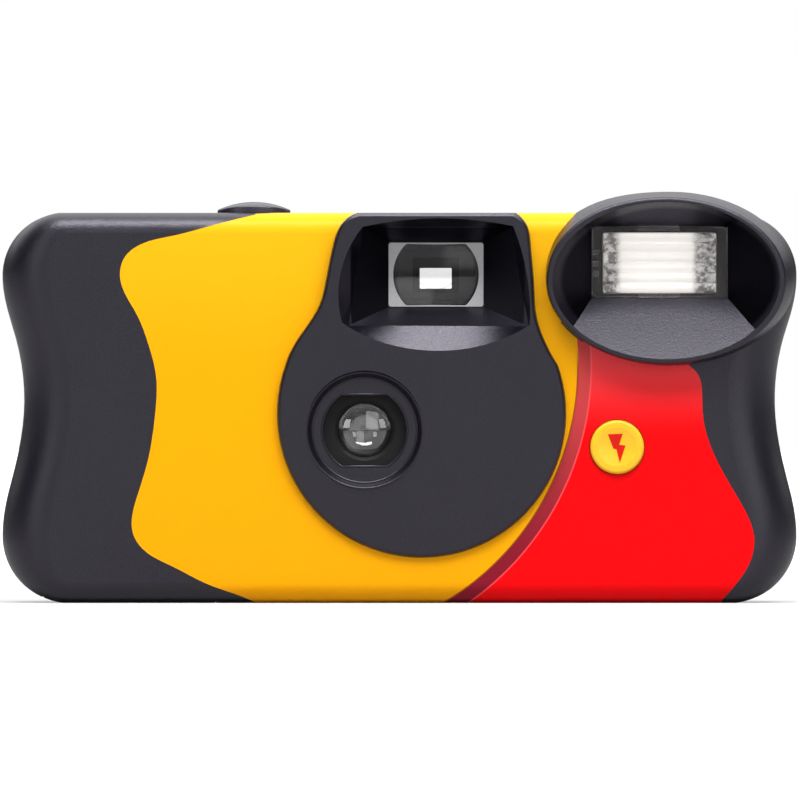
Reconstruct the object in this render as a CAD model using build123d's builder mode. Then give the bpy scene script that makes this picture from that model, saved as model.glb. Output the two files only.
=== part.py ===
"""Single-use 35 mm film camera with a built-in flash.

Millimetres, +Z up. The front, with the lens, faces -Y and the photographer stands at +Y.
The origin is on the surface that the camera stands on, midway along its width and its depth.
"""

import os
from math import cos, radians, sin, sqrt

from build123d import *

os.makedirs("parts", exist_ok=True)

# Driving sizes of the casing
body_width = 117.0
waist_width = 110.6
body_height = 57.4
waist_height = 29.3
body_depth = 30.5
front_y = -13.5
back_y = front_y + body_depth
seam_y = 5.5
upper_corner = 9.2
lower_corner = 9.8
side_round = 7.0
edge_round = 3.0
back_side_round = 5.0
back_edge_round = 3.5
wall = 1.5
label_thickness = 0.25
overrun = 1.0
gap = 0.2
door_gap = 0.25

# Share of a radius that a curve's handle takes to follow a round quarter
round_share = 0.5523
# Share of the waist's depth that the flanks have reached, halfway down and halfway up
upper_flank_share = 0.63
lower_flank_share = 0.54
# Angles round an edge's quarter turn at which the casing's sections are taken
edge_angles = (0, 12, 24, 36, 50, 68, 90)

# Optical axis of the taking lens, and the film gate behind it
lens_x = -5.13
lens_z = 25.4
gate_width = 36.0
gate_height = 24.0
film_height = 35.0
film_thickness = 0.14
film_y = 14.13

# Film cassette, film roll, battery
cassette_x = -39.8
cassette_y = 2.4
cassette_radius = 12.5
cassette_height = 43.0
roll_x = 26.6
roll_radius = 9.0
roll_y = film_y - roll_radius
battery_x = 45.7
battery_y = 7.5
battery_radius = 7.1
battery_length = 50.0
battery_z = 3.0


def save(builder, name):
    """Writes one finished piece under its own name."""
    builder.part.label = name
    export_step(builder.part, f"parts/{name}.step")


def facing(y):
    """The upright plane at this depth: its own x is X, its own y is Z, and it faces the front."""
    return Plane.XZ.offset(-y)


def level(z):
    """The level plane at this height, facing up."""
    return Plane.XY.offset(z)


def across(x):
    """The upright plane across the width: its own x is Y and its own y is Z."""
    return Plane.YZ.offset(x)


def block(plane, low, high, length, mode=Mode.ADD):
    """A rectangular bar between two corners drawn on a plane."""
    with BuildSketch(plane) as profile:
        with Locations(((low[0] + high[0]) / 2, (low[1] + high[1]) / 2)):
            Rectangle(high[0] - low[0], high[1] - low[1])
    extrude(profile.sketch, amount=length, mode=mode)


def rod(plane, centre, radius, length, mode=Mode.ADD):
    """A round bar, or a round hole, on a plane."""
    with BuildSketch(plane) as profile:
        with Locations(centre):
            Circle(radius)
    extrude(profile.sketch, amount=length, mode=mode)


def tube(plane, centre, outer, inner, length, mode=Mode.ADD):
    """A round sleeve on a plane."""
    with BuildSketch(plane) as profile:
        with Locations(centre):
            Circle(outer)
            Circle(inner, mode=Mode.SUBTRACT)
    extrude(profile.sketch, amount=length, mode=mode)


def oval(plane, centre, half_width, half_height):
    """An upright ellipse as a face."""
    with BuildSketch(plane) as profile:
        with Locations(centre):
            Ellipse(half_width, half_height)
    return profile.sketch


def panel(plane, low, high):
    """An upright rectangle as a face, from its low corner to its high one."""
    with BuildSketch(plane) as profile:
        with Locations(((low[0] + high[0]) / 2, (low[1] + high[1]) / 2)):
            Rectangle(high[0] - low[0], high[1] - low[1])
    return profile.sketch


def slab(plane, corners):
    """A straight-sided face through hand-placed corners."""
    with BuildSketch(plane) as profile:
        Polygon(*corners, align=None)
    return profile.sketch


def coil(centre, foot, head, radius, wire, turns):
    """A round spring that stands on a level plane."""
    with BuildLine(Plane(origin=(centre[0], centre[1], foot))) as path:
        Helix(pitch=(head - foot) / turns, height=head - foot, radius=radius)
    with BuildSketch(Plane(origin=path.line @ 0, z_dir=path.line % 0)) as section:
        Circle(wire)
    sweep(section.sketch, path=path.line)


def outline(plane, side_inset, edge_inset):
    """The casing's waisted front view, drawn in from its sides and from its top and bottom."""
    half = body_width / 2 - side_inset
    waist = waist_width / 2 - side_inset
    dip = half - waist
    top = body_height - edge_inset
    high = body_height - upper_corner
    low = lower_corner
    top_x = body_width / 2 - upper_corner
    low_x = body_width / 2 - lower_corner
    top_handle = top_x + (half - top_x) * round_share
    top_rise = high + (top - high) * round_share
    low_handle = low_x + (half - low_x) * round_share
    low_drop = low - (low - edge_inset) * round_share
    side = [
        (half, high),
        (half - dip * upper_flank_share, (high + waist_height) / 2),
        (waist, waist_height),
        (half - dip * lower_flank_share, (low + waist_height) / 2),
        (half, low),
    ]
    with BuildSketch(plane) as profile:
        with BuildLine():
            Line((-top_x, top), (top_x, top))
            Bezier((top_x, top), (top_handle, top), (half, top_rise), (half, high))
            Spline(*side, tangents=((0, -1), (0, -1)))
            Bezier((half, low), (half, low_drop), (low_handle, edge_inset), (low_x, edge_inset))
            Line((low_x, edge_inset), (-low_x, edge_inset))
            Bezier((-low_x, edge_inset), (-low_handle, edge_inset), (-half, low_drop), (-half, low))
            Spline(*[(-x, z) for x, z in reversed(side)], tangents=((0, 1), (0, 1)))
            Bezier((-half, high), (-half, top_rise), (-top_handle, top), (-top_x, top))
        make_face()
    return profile.sketch


def rounded_end(start_y, towards, side_radius, edge_radius, inset):
    """Sections of one rounded end of the casing, from its flat face to its full size."""
    faces = []
    for angle in edge_angles:
        depth = side_radius * (1 - cos(radians(angle)))
        side = side_radius * (1 - sin(radians(angle)))
        rest = max(edge_radius - depth, 0)
        edge = edge_radius - sqrt(edge_radius**2 - rest**2)
        faces.append(outline(facing(start_y + towards * depth), inset + side, inset + edge))
    return faces


def casing(inset):
    """The casing's solid form, drawn in all round by an inset."""
    front = front_y + inset
    back = back_y - inset
    front_radius = side_round - inset
    back_radius = back_side_round - inset
    loft(rounded_end(front, 1, front_radius, edge_round - inset, inset))
    extrude(
        outline(facing(front + front_radius), inset, inset),
        amount=-(back - back_radius - front - front_radius),
    )
    loft(rounded_end(back, -1, back_radius, back_edge_round - inset, inset))
    for height, length in ((inset, -overrun), (body_height - inset, overrun)):
        block(
            level(height),
            (-body_width, -body_depth),
            (body_width, body_depth),
            length,
            Mode.SUBTRACT,
        )


with BuildPart() as casing_form:
    casing(0)

with BuildPart() as label_bed_form:
    casing(label_thickness)

with BuildPart() as cavity_form:
    casing(wall)

# Raised pad round the lens, which carries on upwards as the viewfinder's hood
pad_x = 3.24
pad_z = 27.94
pad_radius = 21.25
pad_root_y = -9.5
pad_top_y = -16.1
pad_foot_y = -14.1
# Depth behind the pad's face, and inset, of each line round its softened edge
pad_lip = ((0.8, 0), (0.25, 0.15), (0, 0.5))
hood_left = (
    (-6.2, body_height),
    (-8.9, 55.2),
    (-9.8, 52.6),
    (-10.7, 48.2),
    (-11.8, 43.8),
    (-14.6, 39.4),
    (-16.8, 35.0),
)
hood_right = (
    (17.1, body_height),
    (18.9, 55.2),
    (19.3, 52.6),
    (19.8, 46.8),
    (20.1, 42.4),
    (21.0, 39.4),
    (23.3, 35.0),
)


def pad_plane(depth):
    """The pad's leaning face, or a plane this far behind it."""
    rise = (0, pad_top_y - pad_foot_y, body_height)
    return Plane(
        origin=(0, pad_foot_y + depth, 0),
        x_dir=(1, 0, 0),
        z_dir=(0, -rise[2], rise[1]),
    )


def pad_outline(depth, inset):
    """The pad and hood's outline on one of those planes, drawn in by an inset."""
    left = [(x + inset, z) for x, z in hood_left]
    right = [(x - inset, z) for x, z in hood_right]
    left[0] = (left[0][0], left[0][1] - inset)
    right[0] = (right[0][0], right[0][1] - inset)
    with BuildSketch(pad_plane(depth)) as face:
        with BuildLine():
            Line(left[0], right[0])
            Spline(*right)
            ThreePointArc(right[-1], (pad_x, pad_z - pad_radius + inset), left[-1])
            Spline(*left)
        make_face()
    return face.sketch


with BuildPart() as pad_form:
    extrude(pad_outline(pad_lip[0][0], 0), amount=pad_root_y - pad_top_y, dir=(0, 1, 0))
    loft([pad_outline(depth, inset) for depth, inset in pad_lip], ruled=True)

# Flash bell, an oval horn proud of the front and of the top: depth, centre, half width and height,
# and the share of its half sizes that the fuller upper left quarter's handles take
bell_sections = (
    (-17.0, (39.15, 47.4), 17.5, 12.2, 0.58),
    (-14.0, (39.6, 47.6), 18.1, 12.65, 0.64),
    (-10.0, (39.86, 47.65), 18.31, 12.8, 0.69),
    (-4.0, (39.4, 46.8), 17.3, 11.8, 0.69),
    (2.0, (39.0, 46.5), 16.0, 9.9, 0.6),
)
bell_rim_round = 0.5


def bell_face(y, centre, wide, high, full):
    """One section of the bell: an oval that is fuller in its upper left quarter."""
    x, z = centre
    quarters = (
        (1, 1, round_share),
        (-1, 1, full),
        (-1, -1, round_share),
        (1, -1, round_share),
    )
    with BuildSketch(facing(y)) as profile:
        with BuildLine():
            for side, rise, share in quarters:
                flank = ((x + side * wide, z), (x + side * wide, z + rise * high * share))
                crown = ((x + side * wide * share, z + rise * high), (x, z + rise * high))
                points = flank + crown
                Bezier(*(points if side == rise else points[::-1]))
        make_face()
    return profile.sketch


with BuildPart() as bell_form:
    loft([bell_face(*section) for section in bell_sections])
    fillet(bell_form.faces().sort_by(Axis.Y)[0].edges(), bell_rim_round)

with BuildPart() as bell_hollow:
    loft(
        [
            bell_face(y + wall, centre, wide - wall, high - wall, full)
            for y, centre, wide, high, full in bell_sections[1:]
        ]
    )

# Flash recess: a funnel from the bell's rim to the clear window, then a short straight channel
rim_centre = (39.15, 47.4)
rim_half_width = 16.72
rim_half_height = 11.55
funnel_front = ((21.6, 34.6), (57.0, 59.5))
funnel_front_y = bell_sections[0][0] - overrun
funnel_outer_y = -14.0
funnel_wall = 1.0
flash_low = (28.31, 44.86)
flash_high = (48.31, 55.45)
flash_y = -9.5
channel_end_y = -7.4


def grown(low, high, margin):
    """A rectangle's two corners, moved outwards."""
    return (low[0] - margin, low[1] - margin), (high[0] + margin, high[1] + margin)


def funnel(front, margin):
    """The funnel's hollow, or its outside when grown by a margin."""
    extrude(
        oval(facing(flash_y), rim_centre, rim_half_width + margin, rim_half_height + margin),
        amount=flash_y - front,
    )
    ends = [
        panel(facing(funnel_front_y), *grown(*funnel_front, margin)),
        panel(facing(flash_y), *grown(flash_low, flash_high, margin)),
    ]
    loft(ends, ruled=True, mode=Mode.INTERSECT)
    block(facing(channel_end_y), *grown(flash_low, flash_high, margin), channel_end_y - flash_y)


with BuildPart() as funnel_outside:
    funnel(funnel_outer_y, funnel_wall)

with BuildPart() as funnel_inside:
    funnel(funnel_front_y, 0)

# Viewfinder recess: a bowed scoop, then a four-sided funnel that ends in a straight channel
sight_low = (-1.69, 43.53)
sight_high = (12.43, 53.09)
sight_y = -9.3
sight_end_y = -7.0
sight_front_y = -17.5
scoop_y = -15.6
rim_y = -13.2
rim_corners = ((-7.5, 40.8), (19.0, 40.7), (16.4, 55.2), (-5.4, 55.2))
scoop_corners = ((-8.45, 41.2), (19.15, 40.9), (16.7, 55.4), (-5.4, 55.3))
scoop_bulges = ((6.2, 36.75), (18.75, 48.1), (6.2, 56.55), (-8.65, 48.6))
sight_wall = 1.0
sight_hood_y = -12.5
sight_hood_low = (-7.0, 41.0)
sight_hood_high = (18.4, 55.0)

with BuildPart() as sight_outside:
    rear = panel(facing(sight_y), *grown(sight_low, sight_high, sight_wall))
    front = panel(facing(sight_hood_y), *grown(sight_hood_low, sight_hood_high, sight_wall))
    loft([front, rear], ruled=True)
    block(facing(sight_end_y), *grown(sight_low, sight_high, sight_wall), sight_end_y - sight_y)


def bowed(plane, corners, bulges):
    """A four-sided face whose sides are arcs, each through a point of its own."""
    with BuildSketch(plane) as profile:
        with BuildLine():
            for side, bulge in enumerate(bulges):
                ThreePointArc(corners[side], bulge, corners[(side + 1) % len(corners)])
        make_face()
    return profile.sketch


with BuildPart() as sight_inside:
    rear_corners = (
        sight_low,
        (sight_high[0], sight_low[1]),
        sight_high,
        (sight_low[0], sight_high[1]),
    )
    loft([slab(facing(rim_y), rim_corners), slab(facing(sight_y), rear_corners)], ruled=True)
    scoop = bowed(facing(scoop_y), scoop_corners, scoop_bulges)
    loft([scoop, slab(facing(rim_y), rim_corners)], ruled=True)
    extrude(scoop, amount=scoop_y - sight_front_y)
    block(facing(sight_end_y), sight_low, sight_high, sight_end_y - sight_y)

# Round recess and flatted hole in front of the lens
recess_front_y = -16.0
recess_front_radius = 9.3
recess_floor_y = -13.7
recess_floor_radius = 7.7
lens_hole_radius = 6.27
lens_hole_half_height = 5.3

with BuildPart() as lens_inside:
    with BuildSketch(facing(recess_floor_y)) as floor:
        with Locations((lens_x, lens_z)):
            Circle(recess_floor_radius)
    with BuildSketch(facing(recess_front_y)) as mouth:
        with Locations((lens_x, lens_z)):
            Circle(recess_front_radius)
    loft([floor.sketch, mouth.sketch], ruled=True)
    with BuildSketch(facing(front_y + wall + overrun)) as hole:
        with Locations((lens_x, lens_z)):
            Circle(lens_hole_radius)
            Rectangle(
                lens_hole_radius + lens_hole_radius,
                lens_hole_half_height + lens_hole_half_height,
                mode=Mode.INTERSECT,
            )
    extrude(hole.sketch, amount=front_y + wall + overrun - recess_floor_y)

# Shutter button, counter window, flash button, eyepiece and ready light: where each sits
button = (-21.1, -6.3)
button_cap = (-21.45, -6.3)
button_half_width = 5.37
button_half_depth = 3.9
button_clear = 0.15
counter = (-11.2, 5.6)
counter_window_centre = (-11.2, 10.0)
counter_window_width = 5.6
counter_window_depth = 3.2
flash_button_centre = (31.99, 22.94)
flash_button_radius = 3.97
flash_button_clear = 0.13
eyepiece_centre = (5.37, 48.3)
eyepiece_width = 8.2
eyepiece_height = 6.0
eyepiece_flare = 1.2
ready_centre = (17.5, 48.3)
ready_radius = 2.0
ready_clear = 0.1

# Doors in the floor: plate, and the hinge rod along its front edge
door_rise = 3.2
knuckle_radius = 0.7
knuckle_clear = 0.15
film_door_low = (-52.4, -10.2)
film_door_high = (-27.2, 15.0)
film_knuckle = (-48.0, -31.0)
battery_door_low = (37.9, -0.4)
battery_door_high = (53.3, 15.2)
battery_knuckle = (39.4, 48.2)
knuckle_back = 0.3


def knuckle(ends, door_front, margin, mode=Mode.ADD):
    """The hinge rod of a door, or the channel that it turns in."""
    rod(
        across(ends[0] - margin),
        (door_front - knuckle_back, knuckle_radius),
        knuckle_radius + margin,
        ends[1] - ends[0] + margin + margin,
        mode,
    )


def doorway(low, high, ends):
    """Cuts a door's place out of the floor, with the channel of its hinge."""
    corners = grown(low, high, door_gap)
    block(level(-overrun), *corners, door_rise + door_gap + overrun, Mode.SUBTRACT)
    knuckle(ends, low[1], knuckle_clear, Mode.SUBTRACT)
    block(
        level(-overrun),
        (low[0] - door_gap, low[1] - knuckle_back - knuckle_radius - knuckle_clear),
        (high[0] + door_gap, low[1]),
        overrun + knuckle_radius,
        Mode.SUBTRACT,
    )


with BuildPart() as shell_form:
    add(casing_form.part)
    add(cavity_form.part, mode=Mode.SUBTRACT)


def door(low, high, ends):
    """A door: a piece of the casing's floor with a hinge rod along its front edge."""
    add(shell_form.part)
    block(level(-overrun), low, high, door_rise + overrun, Mode.INTERSECT)
    knuckle(ends, low[1], 0)


with BuildPart() as film_door:
    door(film_door_low, film_door_high, film_knuckle)
save(film_door, "film_door")

with BuildPart() as battery_door:
    door(battery_door_low, battery_door_high, battery_knuckle)
save(battery_door, "battery_door")

# Printed wrap, yellow: its left edge on the front, its curved right edge, and the band round
wrap_left = (
    (-21.2, 57.1),
    (-27.3, 55.6),
    (-32.9, 54.1),
    (-37.9, 52.8),
    (-40.3, 51.0),
    (-41.1, 48.2),
    (-40.1, 45.0),
    (-38.6, 42.4),
    (-36.9, 38.0),
    (-35.8, 33.5),
    (-35.7, 30.6),
    (-36.1, 26.2),
    (-36.8, 21.8),
    (-38.5, 15.9),
    (-39.35, 12.4),
    (-39.1, 10.0),
    (-36.7, 7.1),
    (-33.8, 5.6),
    (-27.9, 2.65),
    (-23.8, 1.2),
    (-21.2, 0.1),
)
stripe_centre = (-14.2, 34.75)
stripe_radius = 40.5
wrap_right_top = 25.9
wrap_shoulder = 38.0
wrap_right_foot = 6.6
wrap_front_end = -4.6
front_reach = -18.0
label_split = 4.0
button_label_clear = 1.2

with BuildPart() as label_skin:
    add(casing_form.part)
    add(label_bed_form.part, mode=Mode.SUBTRACT)

with BuildPart() as wrap_region:
    with BuildSketch(facing(wrap_front_end)) as front_area:
        with BuildLine():
            Line((wrap_left[0][0], body_height + overrun), wrap_left[0])
            Spline(*wrap_left)
            Line(wrap_left[-1], (wrap_left[-1][0], -overrun))
            Line((wrap_left[-1][0], -overrun), (body_width / 2, -overrun))
            Line((body_width / 2, -overrun), (body_width / 2, body_height + overrun))
            Line((body_width / 2, body_height + overrun), (wrap_left[0][0], body_height + overrun))
        make_face()
        with Locations(stripe_centre):
            Circle(stripe_radius, mode=Mode.INTERSECT)
        add(panel(facing(wrap_front_end), (0, wrap_shoulder), (wrap_right_top, body_height + overrun)))
    extrude(front_area.sketch, amount=wrap_front_end - front_reach)
    block(
        facing(body_depth),
        (wrap_left[0][0], label_split),
        (wrap_right_top, body_height + overrun),
        body_depth - wrap_front_end,
    )
    block(
        facing(body_depth),
        (wrap_left[0][0], -overrun),
        (wrap_right_foot, label_split),
        body_depth - wrap_front_end,
    )

with BuildPart() as wrap_label:
    add(label_skin.part)
    add(wrap_region.part, mode=Mode.INTERSECT)
    add(pad_form.part, mode=Mode.SUBTRACT)
    add(bell_form.part, mode=Mode.SUBTRACT)
    extrude(
        oval(
            level(body_height - wall),
            button_cap,
            button_half_width + button_label_clear,
            button_half_depth + button_label_clear,
        ),
        amount=wall + overrun,
        mode=Mode.SUBTRACT,
    )
    with BuildSketch(level(body_height - wall)) as counter_opening:
        with Locations(counter_window_centre):
            Rectangle(counter_window_width, counter_window_depth)
    extrude(counter_opening.sketch, amount=wall + overrun, mode=Mode.SUBTRACT)
    with BuildSketch(facing(back_y + overrun)) as eyepiece_opening:
        with Locations(eyepiece_centre):
            Rectangle(
                eyepiece_width + eyepiece_flare + eyepiece_flare,
                eyepiece_height + eyepiece_flare + eyepiece_flare,
            )
    extrude(eyepiece_opening.sketch, amount=wall + overrun, mode=Mode.SUBTRACT)
    rod(facing(back_y + overrun), ready_centre, ready_radius, wall + overrun, Mode.SUBTRACT)
save(wrap_label, "wrap_label")

# Red front label: its right edge from under the bell to the floor, where it folds under
red_right = (
    (40.0, 36.5),
    (42.6, 34.9),
    (43.9, 33.6),
    (44.5, 31.0),
    (44.6, 27.7),
    (45.4, 24.0),
    (47.0, 20.3),
    (49.5, 15.9),
    (51.3, 12.6),
    (52.15, 9.6),
    (51.6, 6.2),
    (49.3, 2.6),
    (47.4, 0.4),
)
red_left = 4.0
red_top = 39.8
red_shoulder = 33.0
red_fold_y = -6.0

with BuildPart() as red_label:
    add(label_skin.part)
    with BuildSketch(facing(red_fold_y)) as red_area:
        with BuildLine():
            Spline(*red_right)
            Line(red_right[-1], (red_right[-1][0], -overrun))
            Line((red_right[-1][0], -overrun), (red_left, -overrun))
            Line((red_left, -overrun), (red_left, red_top))
            Line((red_left, red_top), (red_shoulder, red_top))
            Line((red_shoulder, red_top), red_right[0])
        make_face()
        with Locations(stripe_centre):
            Circle(stripe_radius, mode=Mode.SUBTRACT)
    extrude(red_area.sketch, amount=red_fold_y - front_reach, mode=Mode.INTERSECT)
    add(bell_form.part, mode=Mode.SUBTRACT)
    add(pad_form.part, mode=Mode.SUBTRACT)
    rod(
        facing(front_y + wall),
        flash_button_centre,
        flash_button_radius + flash_button_clear,
        wall + overrun,
        Mode.SUBTRACT,
    )
save(red_label, "red_label")

# Parting line between the covers: a groove as deep as the labels, half in each cover
seam_groove = 0.13

with BuildPart() as seam_line:
    add(label_skin.part)
    block(
        facing(seam_y + seam_groove),
        (-body_width, -body_height),
        (body_width, body_height + body_height),
        seam_groove + seam_groove,
        Mode.INTERSECT,
    )

# Front cover: the casing's front with its pad, bell and recesses
spindle_boss_radius = 3.6
spindle_radius = 1.8
spindle_clear = 0.06
wheel_top = 53.6

with BuildPart() as front_cover:
    add(casing_form.part)
    add(pad_form.part)
    add(bell_form.part)
    add(cavity_form.part, mode=Mode.SUBTRACT)
    add(bell_hollow.part, mode=Mode.SUBTRACT)
    block(
        facing(seam_y),
        (-body_width, -body_height),
        (body_width, body_height + body_height),
        -body_depth,
        Mode.SUBTRACT,
    )
    add(funnel_outside.part)
    add(sight_outside.part)
    add(funnel_inside.part, mode=Mode.SUBTRACT)
    add(sight_inside.part, mode=Mode.SUBTRACT)
    add(lens_inside.part, mode=Mode.SUBTRACT)
    tube(
        level(wheel_top + gap + gap),
        (cassette_x, cassette_y),
        spindle_boss_radius,
        spindle_radius + spindle_clear,
        body_height - wall - wheel_top - gap - gap,
    )
    extrude(
        oval(
            level(body_height - wall - overrun),
            button_cap,
            button_half_width + button_clear,
            button_half_depth + button_clear,
        ),
        amount=wall + overrun + overrun,
        mode=Mode.SUBTRACT,
    )
    rod(
        facing(front_y + wall + overrun),
        flash_button_centre,
        flash_button_radius + flash_button_clear,
        wall + overrun + overrun,
        Mode.SUBTRACT,
    )
    doorway(film_door_low, film_door_high, film_knuckle)
    doorway(battery_door_low, battery_door_high, battery_knuckle)
    add(seam_line.part, mode=Mode.SUBTRACT)
    add(wrap_label.part, mode=Mode.SUBTRACT)
    add(red_label.part, mode=Mode.SUBTRACT)
save(front_cover, "front_cover")

# Back cover: thumb scoop with the wheel's slot, eyepiece, ready light, counter, pressure ribs
scoop_radius = 25.8
scoop_sagitta = 2.7
scoop_foot = 48.0
scoop_block = ((-52.2, 47.4), (-27.4, 56.2))
scoop_block_y = 12.6
slot_low = (-50.2, 49.9)
slot_high = (-29.4, 53.9)
rib_reach = 1.0
rib_height = 1.2
rib_ends = (-25.0, 15.0)
rib_levels = (9.2, 41.7)

with BuildPart() as back_cover:
    add(casing_form.part)
    add(cavity_form.part, mode=Mode.SUBTRACT)
    block(
        facing(seam_y),
        (-body_width, -body_height),
        (body_width, body_height + body_height),
        body_depth,
        Mode.SUBTRACT,
    )
    block(facing(back_y - wall + gap), *scoop_block, back_y - wall + gap - scoop_block_y)
    rod(
        level(scoop_foot),
        (cassette_x, back_y - scoop_sagitta + scoop_radius),
        scoop_radius,
        body_height,
        Mode.SUBTRACT,
    )
    block(facing(back_y + overrun), slot_low, slot_high, body_depth / 2, Mode.SUBTRACT)
    for rib in rib_levels:
        block(
            facing(back_y - wall),
            (rib_ends[0], rib - rib_height / 2),
            (rib_ends[1], rib + rib_height / 2),
            rib_reach,
        )
    low = (eyepiece_centre[0] - eyepiece_width / 2, eyepiece_centre[1] - eyepiece_height / 2)
    high = (eyepiece_centre[0] + eyepiece_width / 2, eyepiece_centre[1] + eyepiece_height / 2)
    loft(
        [
            panel(facing(back_y), *grown(low, high, eyepiece_flare)),
            panel(facing(back_y - wall - gap), low, high),
        ],
        ruled=True,
        mode=Mode.SUBTRACT,
    )
    rod(
        facing(back_y + overrun),
        ready_centre,
        ready_radius + ready_clear,
        wall + overrun + overrun,
        Mode.SUBTRACT,
    )
    with BuildSketch(level(body_height - wall - overrun)) as counter_opening:
        with Locations(counter_window_centre):
            Rectangle(counter_window_width, counter_window_depth)
    extrude(counter_opening.sketch, amount=wall + overrun + overrun, mode=Mode.SUBTRACT)
    doorway(film_door_low, film_door_high, film_knuckle)
    doorway(battery_door_low, battery_door_high, battery_knuckle)
    add(seam_line.part, mode=Mode.SUBTRACT)
    add(wrap_label.part, mode=Mode.SUBTRACT)
save(back_cover, "back_cover")

# Shutter button: oval cap with a crowned top, flange under the top wall, stem
button_top = 59.05
button_round = 0.3
crown_radius = 12.6
flange_top = body_height - wall - gap
flange_thickness = 0.7
flange_half_width = 5.9
flange_half_depth = 4.6
stem_radius = 1.6
stem_foot = 48.2

with BuildPart() as shutter_button:
    extrude(
        oval(level(flange_top), button_cap, button_half_width, button_half_depth),
        amount=button_top - flange_top,
    )
    crown = Plane(origin=(*button_cap, button_top - crown_radius), z_dir=(0, 1, 0))
    with Locations(crown):
        Sphere(crown_radius, mode=Mode.INTERSECT)
    fillet(shutter_button.faces().sort_by(Axis.Z)[-1].edges(), button_round)
    extrude(
        oval(level(flange_top), button, flange_half_width, flange_half_depth),
        amount=-flange_thickness,
    )
    rod(level(stem_foot), button, stem_radius, flange_top - stem_foot)
save(shutter_button, "shutter_button")

# Spring under the shutter button, on a shelf of the frame
shelf_top = 50.2
button_spring_radius = 2.3
spring_wire = 0.16
spring_turns = 5

with BuildPart() as button_spring:
    coil(
        button,
        shelf_top + spring_wire,
        flange_top - flange_thickness - spring_wire,
        button_spring_radius,
        spring_wire,
        spring_turns,
    )
save(button_spring, "button_spring")

# Flash button: round cap with a dished face, flange behind the wall, stem towards the switch
flash_cap_y = -14.2
flash_cap_round = 0.5
flash_dish_radius = 11.8
flash_dish_depth = 0.35
flash_flange_y = -11.8
flash_flange_thickness = 0.7
flash_flange_radius = 4.9
flash_stem_radius = 1.5
flash_stem_end = -8.9

with BuildPart() as flash_button:
    rod(facing(flash_flange_y), flash_button_centre, flash_button_radius, flash_flange_y - flash_cap_y)
    fillet(flash_button.faces().sort_by(Axis.Y)[0].edges(), flash_cap_round)
    dish_y = flash_cap_y + flash_dish_depth - flash_dish_radius
    with Locations((flash_button_centre[0], dish_y, flash_button_centre[1])):
        Sphere(flash_dish_radius, mode=Mode.SUBTRACT)
    rod(
        facing(flash_flange_y + flash_flange_thickness),
        flash_button_centre,
        flash_flange_radius,
        flash_flange_thickness,
    )
    rod(
        facing(flash_stem_end),
        flash_button_centre,
        flash_stem_radius,
        flash_stem_end - flash_flange_y,
    )
save(flash_button, "flash_button")

# Flash unit's board, behind the flash button and beside the viewfinder
board_y = -6.2
board_thickness = 1.2
board_low = (15.4, 5.0)
board_high = (52.0, 42.6)
board_arm_high = (26.6, 54.0)

with BuildPart() as circuit_board:
    block(facing(board_y), board_low, board_high, board_thickness)
    block(facing(board_y), board_low, board_arm_high, board_thickness)
save(circuit_board, "circuit_board")

board_front_y = board_y - board_thickness

# Domed contact that the flash button presses
dome_radius = 3.0
dome_thickness = 0.5

with BuildPart() as flash_switch_contact:
    rod(facing(board_front_y), flash_button_centre, dome_radius, dome_thickness)
save(flash_switch_contact, "flash_switch_contact")

# Small parts on the board's front
transistor_low = (42.0, 9.0)
transistor_high = (46.6, 13.6)
transistor_depth = 3.6
resistor_centres = ((20.5, 30.0), (20.5, 34.0))
resistor_radius = 1.1
resistor_length = 6.4
resistor_lift = 1.2
diode_centre = (44.0, 33.0)
trigger_cap_low = (18.0, 10.0)
trigger_cap_high = (25.0, 15.5)
trigger_cap_depth = 3.4

with BuildPart() as transistor:
    block(facing(board_front_y), transistor_low, transistor_high, transistor_depth)
save(transistor, "transistor")

with BuildPart() as trigger_capacitor:
    block(facing(board_front_y), trigger_cap_low, trigger_cap_high, trigger_cap_depth)
save(trigger_capacitor, "trigger_capacitor")


def axial_part(centre):
    """A small round part that lies across the board on two bent legs."""
    rod(
        across(centre[0] - resistor_length / 2),
        (board_front_y - resistor_lift, centre[1]),
        resistor_radius,
        resistor_length,
    )
    for leg in (-resistor_length / 2, resistor_length / 2 - spring_wire - spring_wire):
        block(
            facing(board_front_y),
            (centre[0] + leg, centre[1] - spring_wire),
            (centre[0] + leg + spring_wire + spring_wire, centre[1] + spring_wire),
            resistor_lift,
        )


with BuildPart() as charge_resistor:
    axial_part(resistor_centres[0])
save(charge_resistor, "charge_resistor")

with BuildPart() as lamp_resistor:
    axial_part(resistor_centres[1])
save(lamp_resistor, "lamp_resistor")

with BuildPart() as rectifier_diode:
    axial_part(diode_centre)
save(rectifier_diode, "rectifier_diode")

# Transformer on the board's back, ahead of the battery
transformer_low = (39.6, 29.0)
transformer_high = (48.6, 37.0)
transformer_depth = 5.2
transformer_flange = 1.0
transformer_pinch = 0.8

with BuildPart() as transformer:
    block(facing(board_y + transformer_depth), transformer_low, transformer_high, transformer_depth)
    with BuildSketch(facing(board_y + transformer_depth)) as winding:
        with Locations(
            (
                (transformer_low[0] + transformer_high[0]) / 2,
                (transformer_low[1] + transformer_high[1]) / 2,
            )
        ):
            Rectangle(
                transformer_high[0] - transformer_low[0] + overrun,
                transformer_high[1] - transformer_low[1] - transformer_flange - transformer_flange,
            )
            Rectangle(
                transformer_high[0] - transformer_low[0] - transformer_pinch - transformer_pinch,
                transformer_high[1] - transformer_low[1],
                mode=Mode.SUBTRACT,
            )
    extrude(winding.sketch, amount=transformer_depth - transformer_pinch, mode=Mode.SUBTRACT)
save(transformer, "transformer")

# Main capacitor, which lies across the camera under the lens
capacitor_centre = (-4.9, 9.0)
capacitor_radius = 6.5
capacitor_ends = (-14.0, 14.0)
capacitor_round = 0.6

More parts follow.
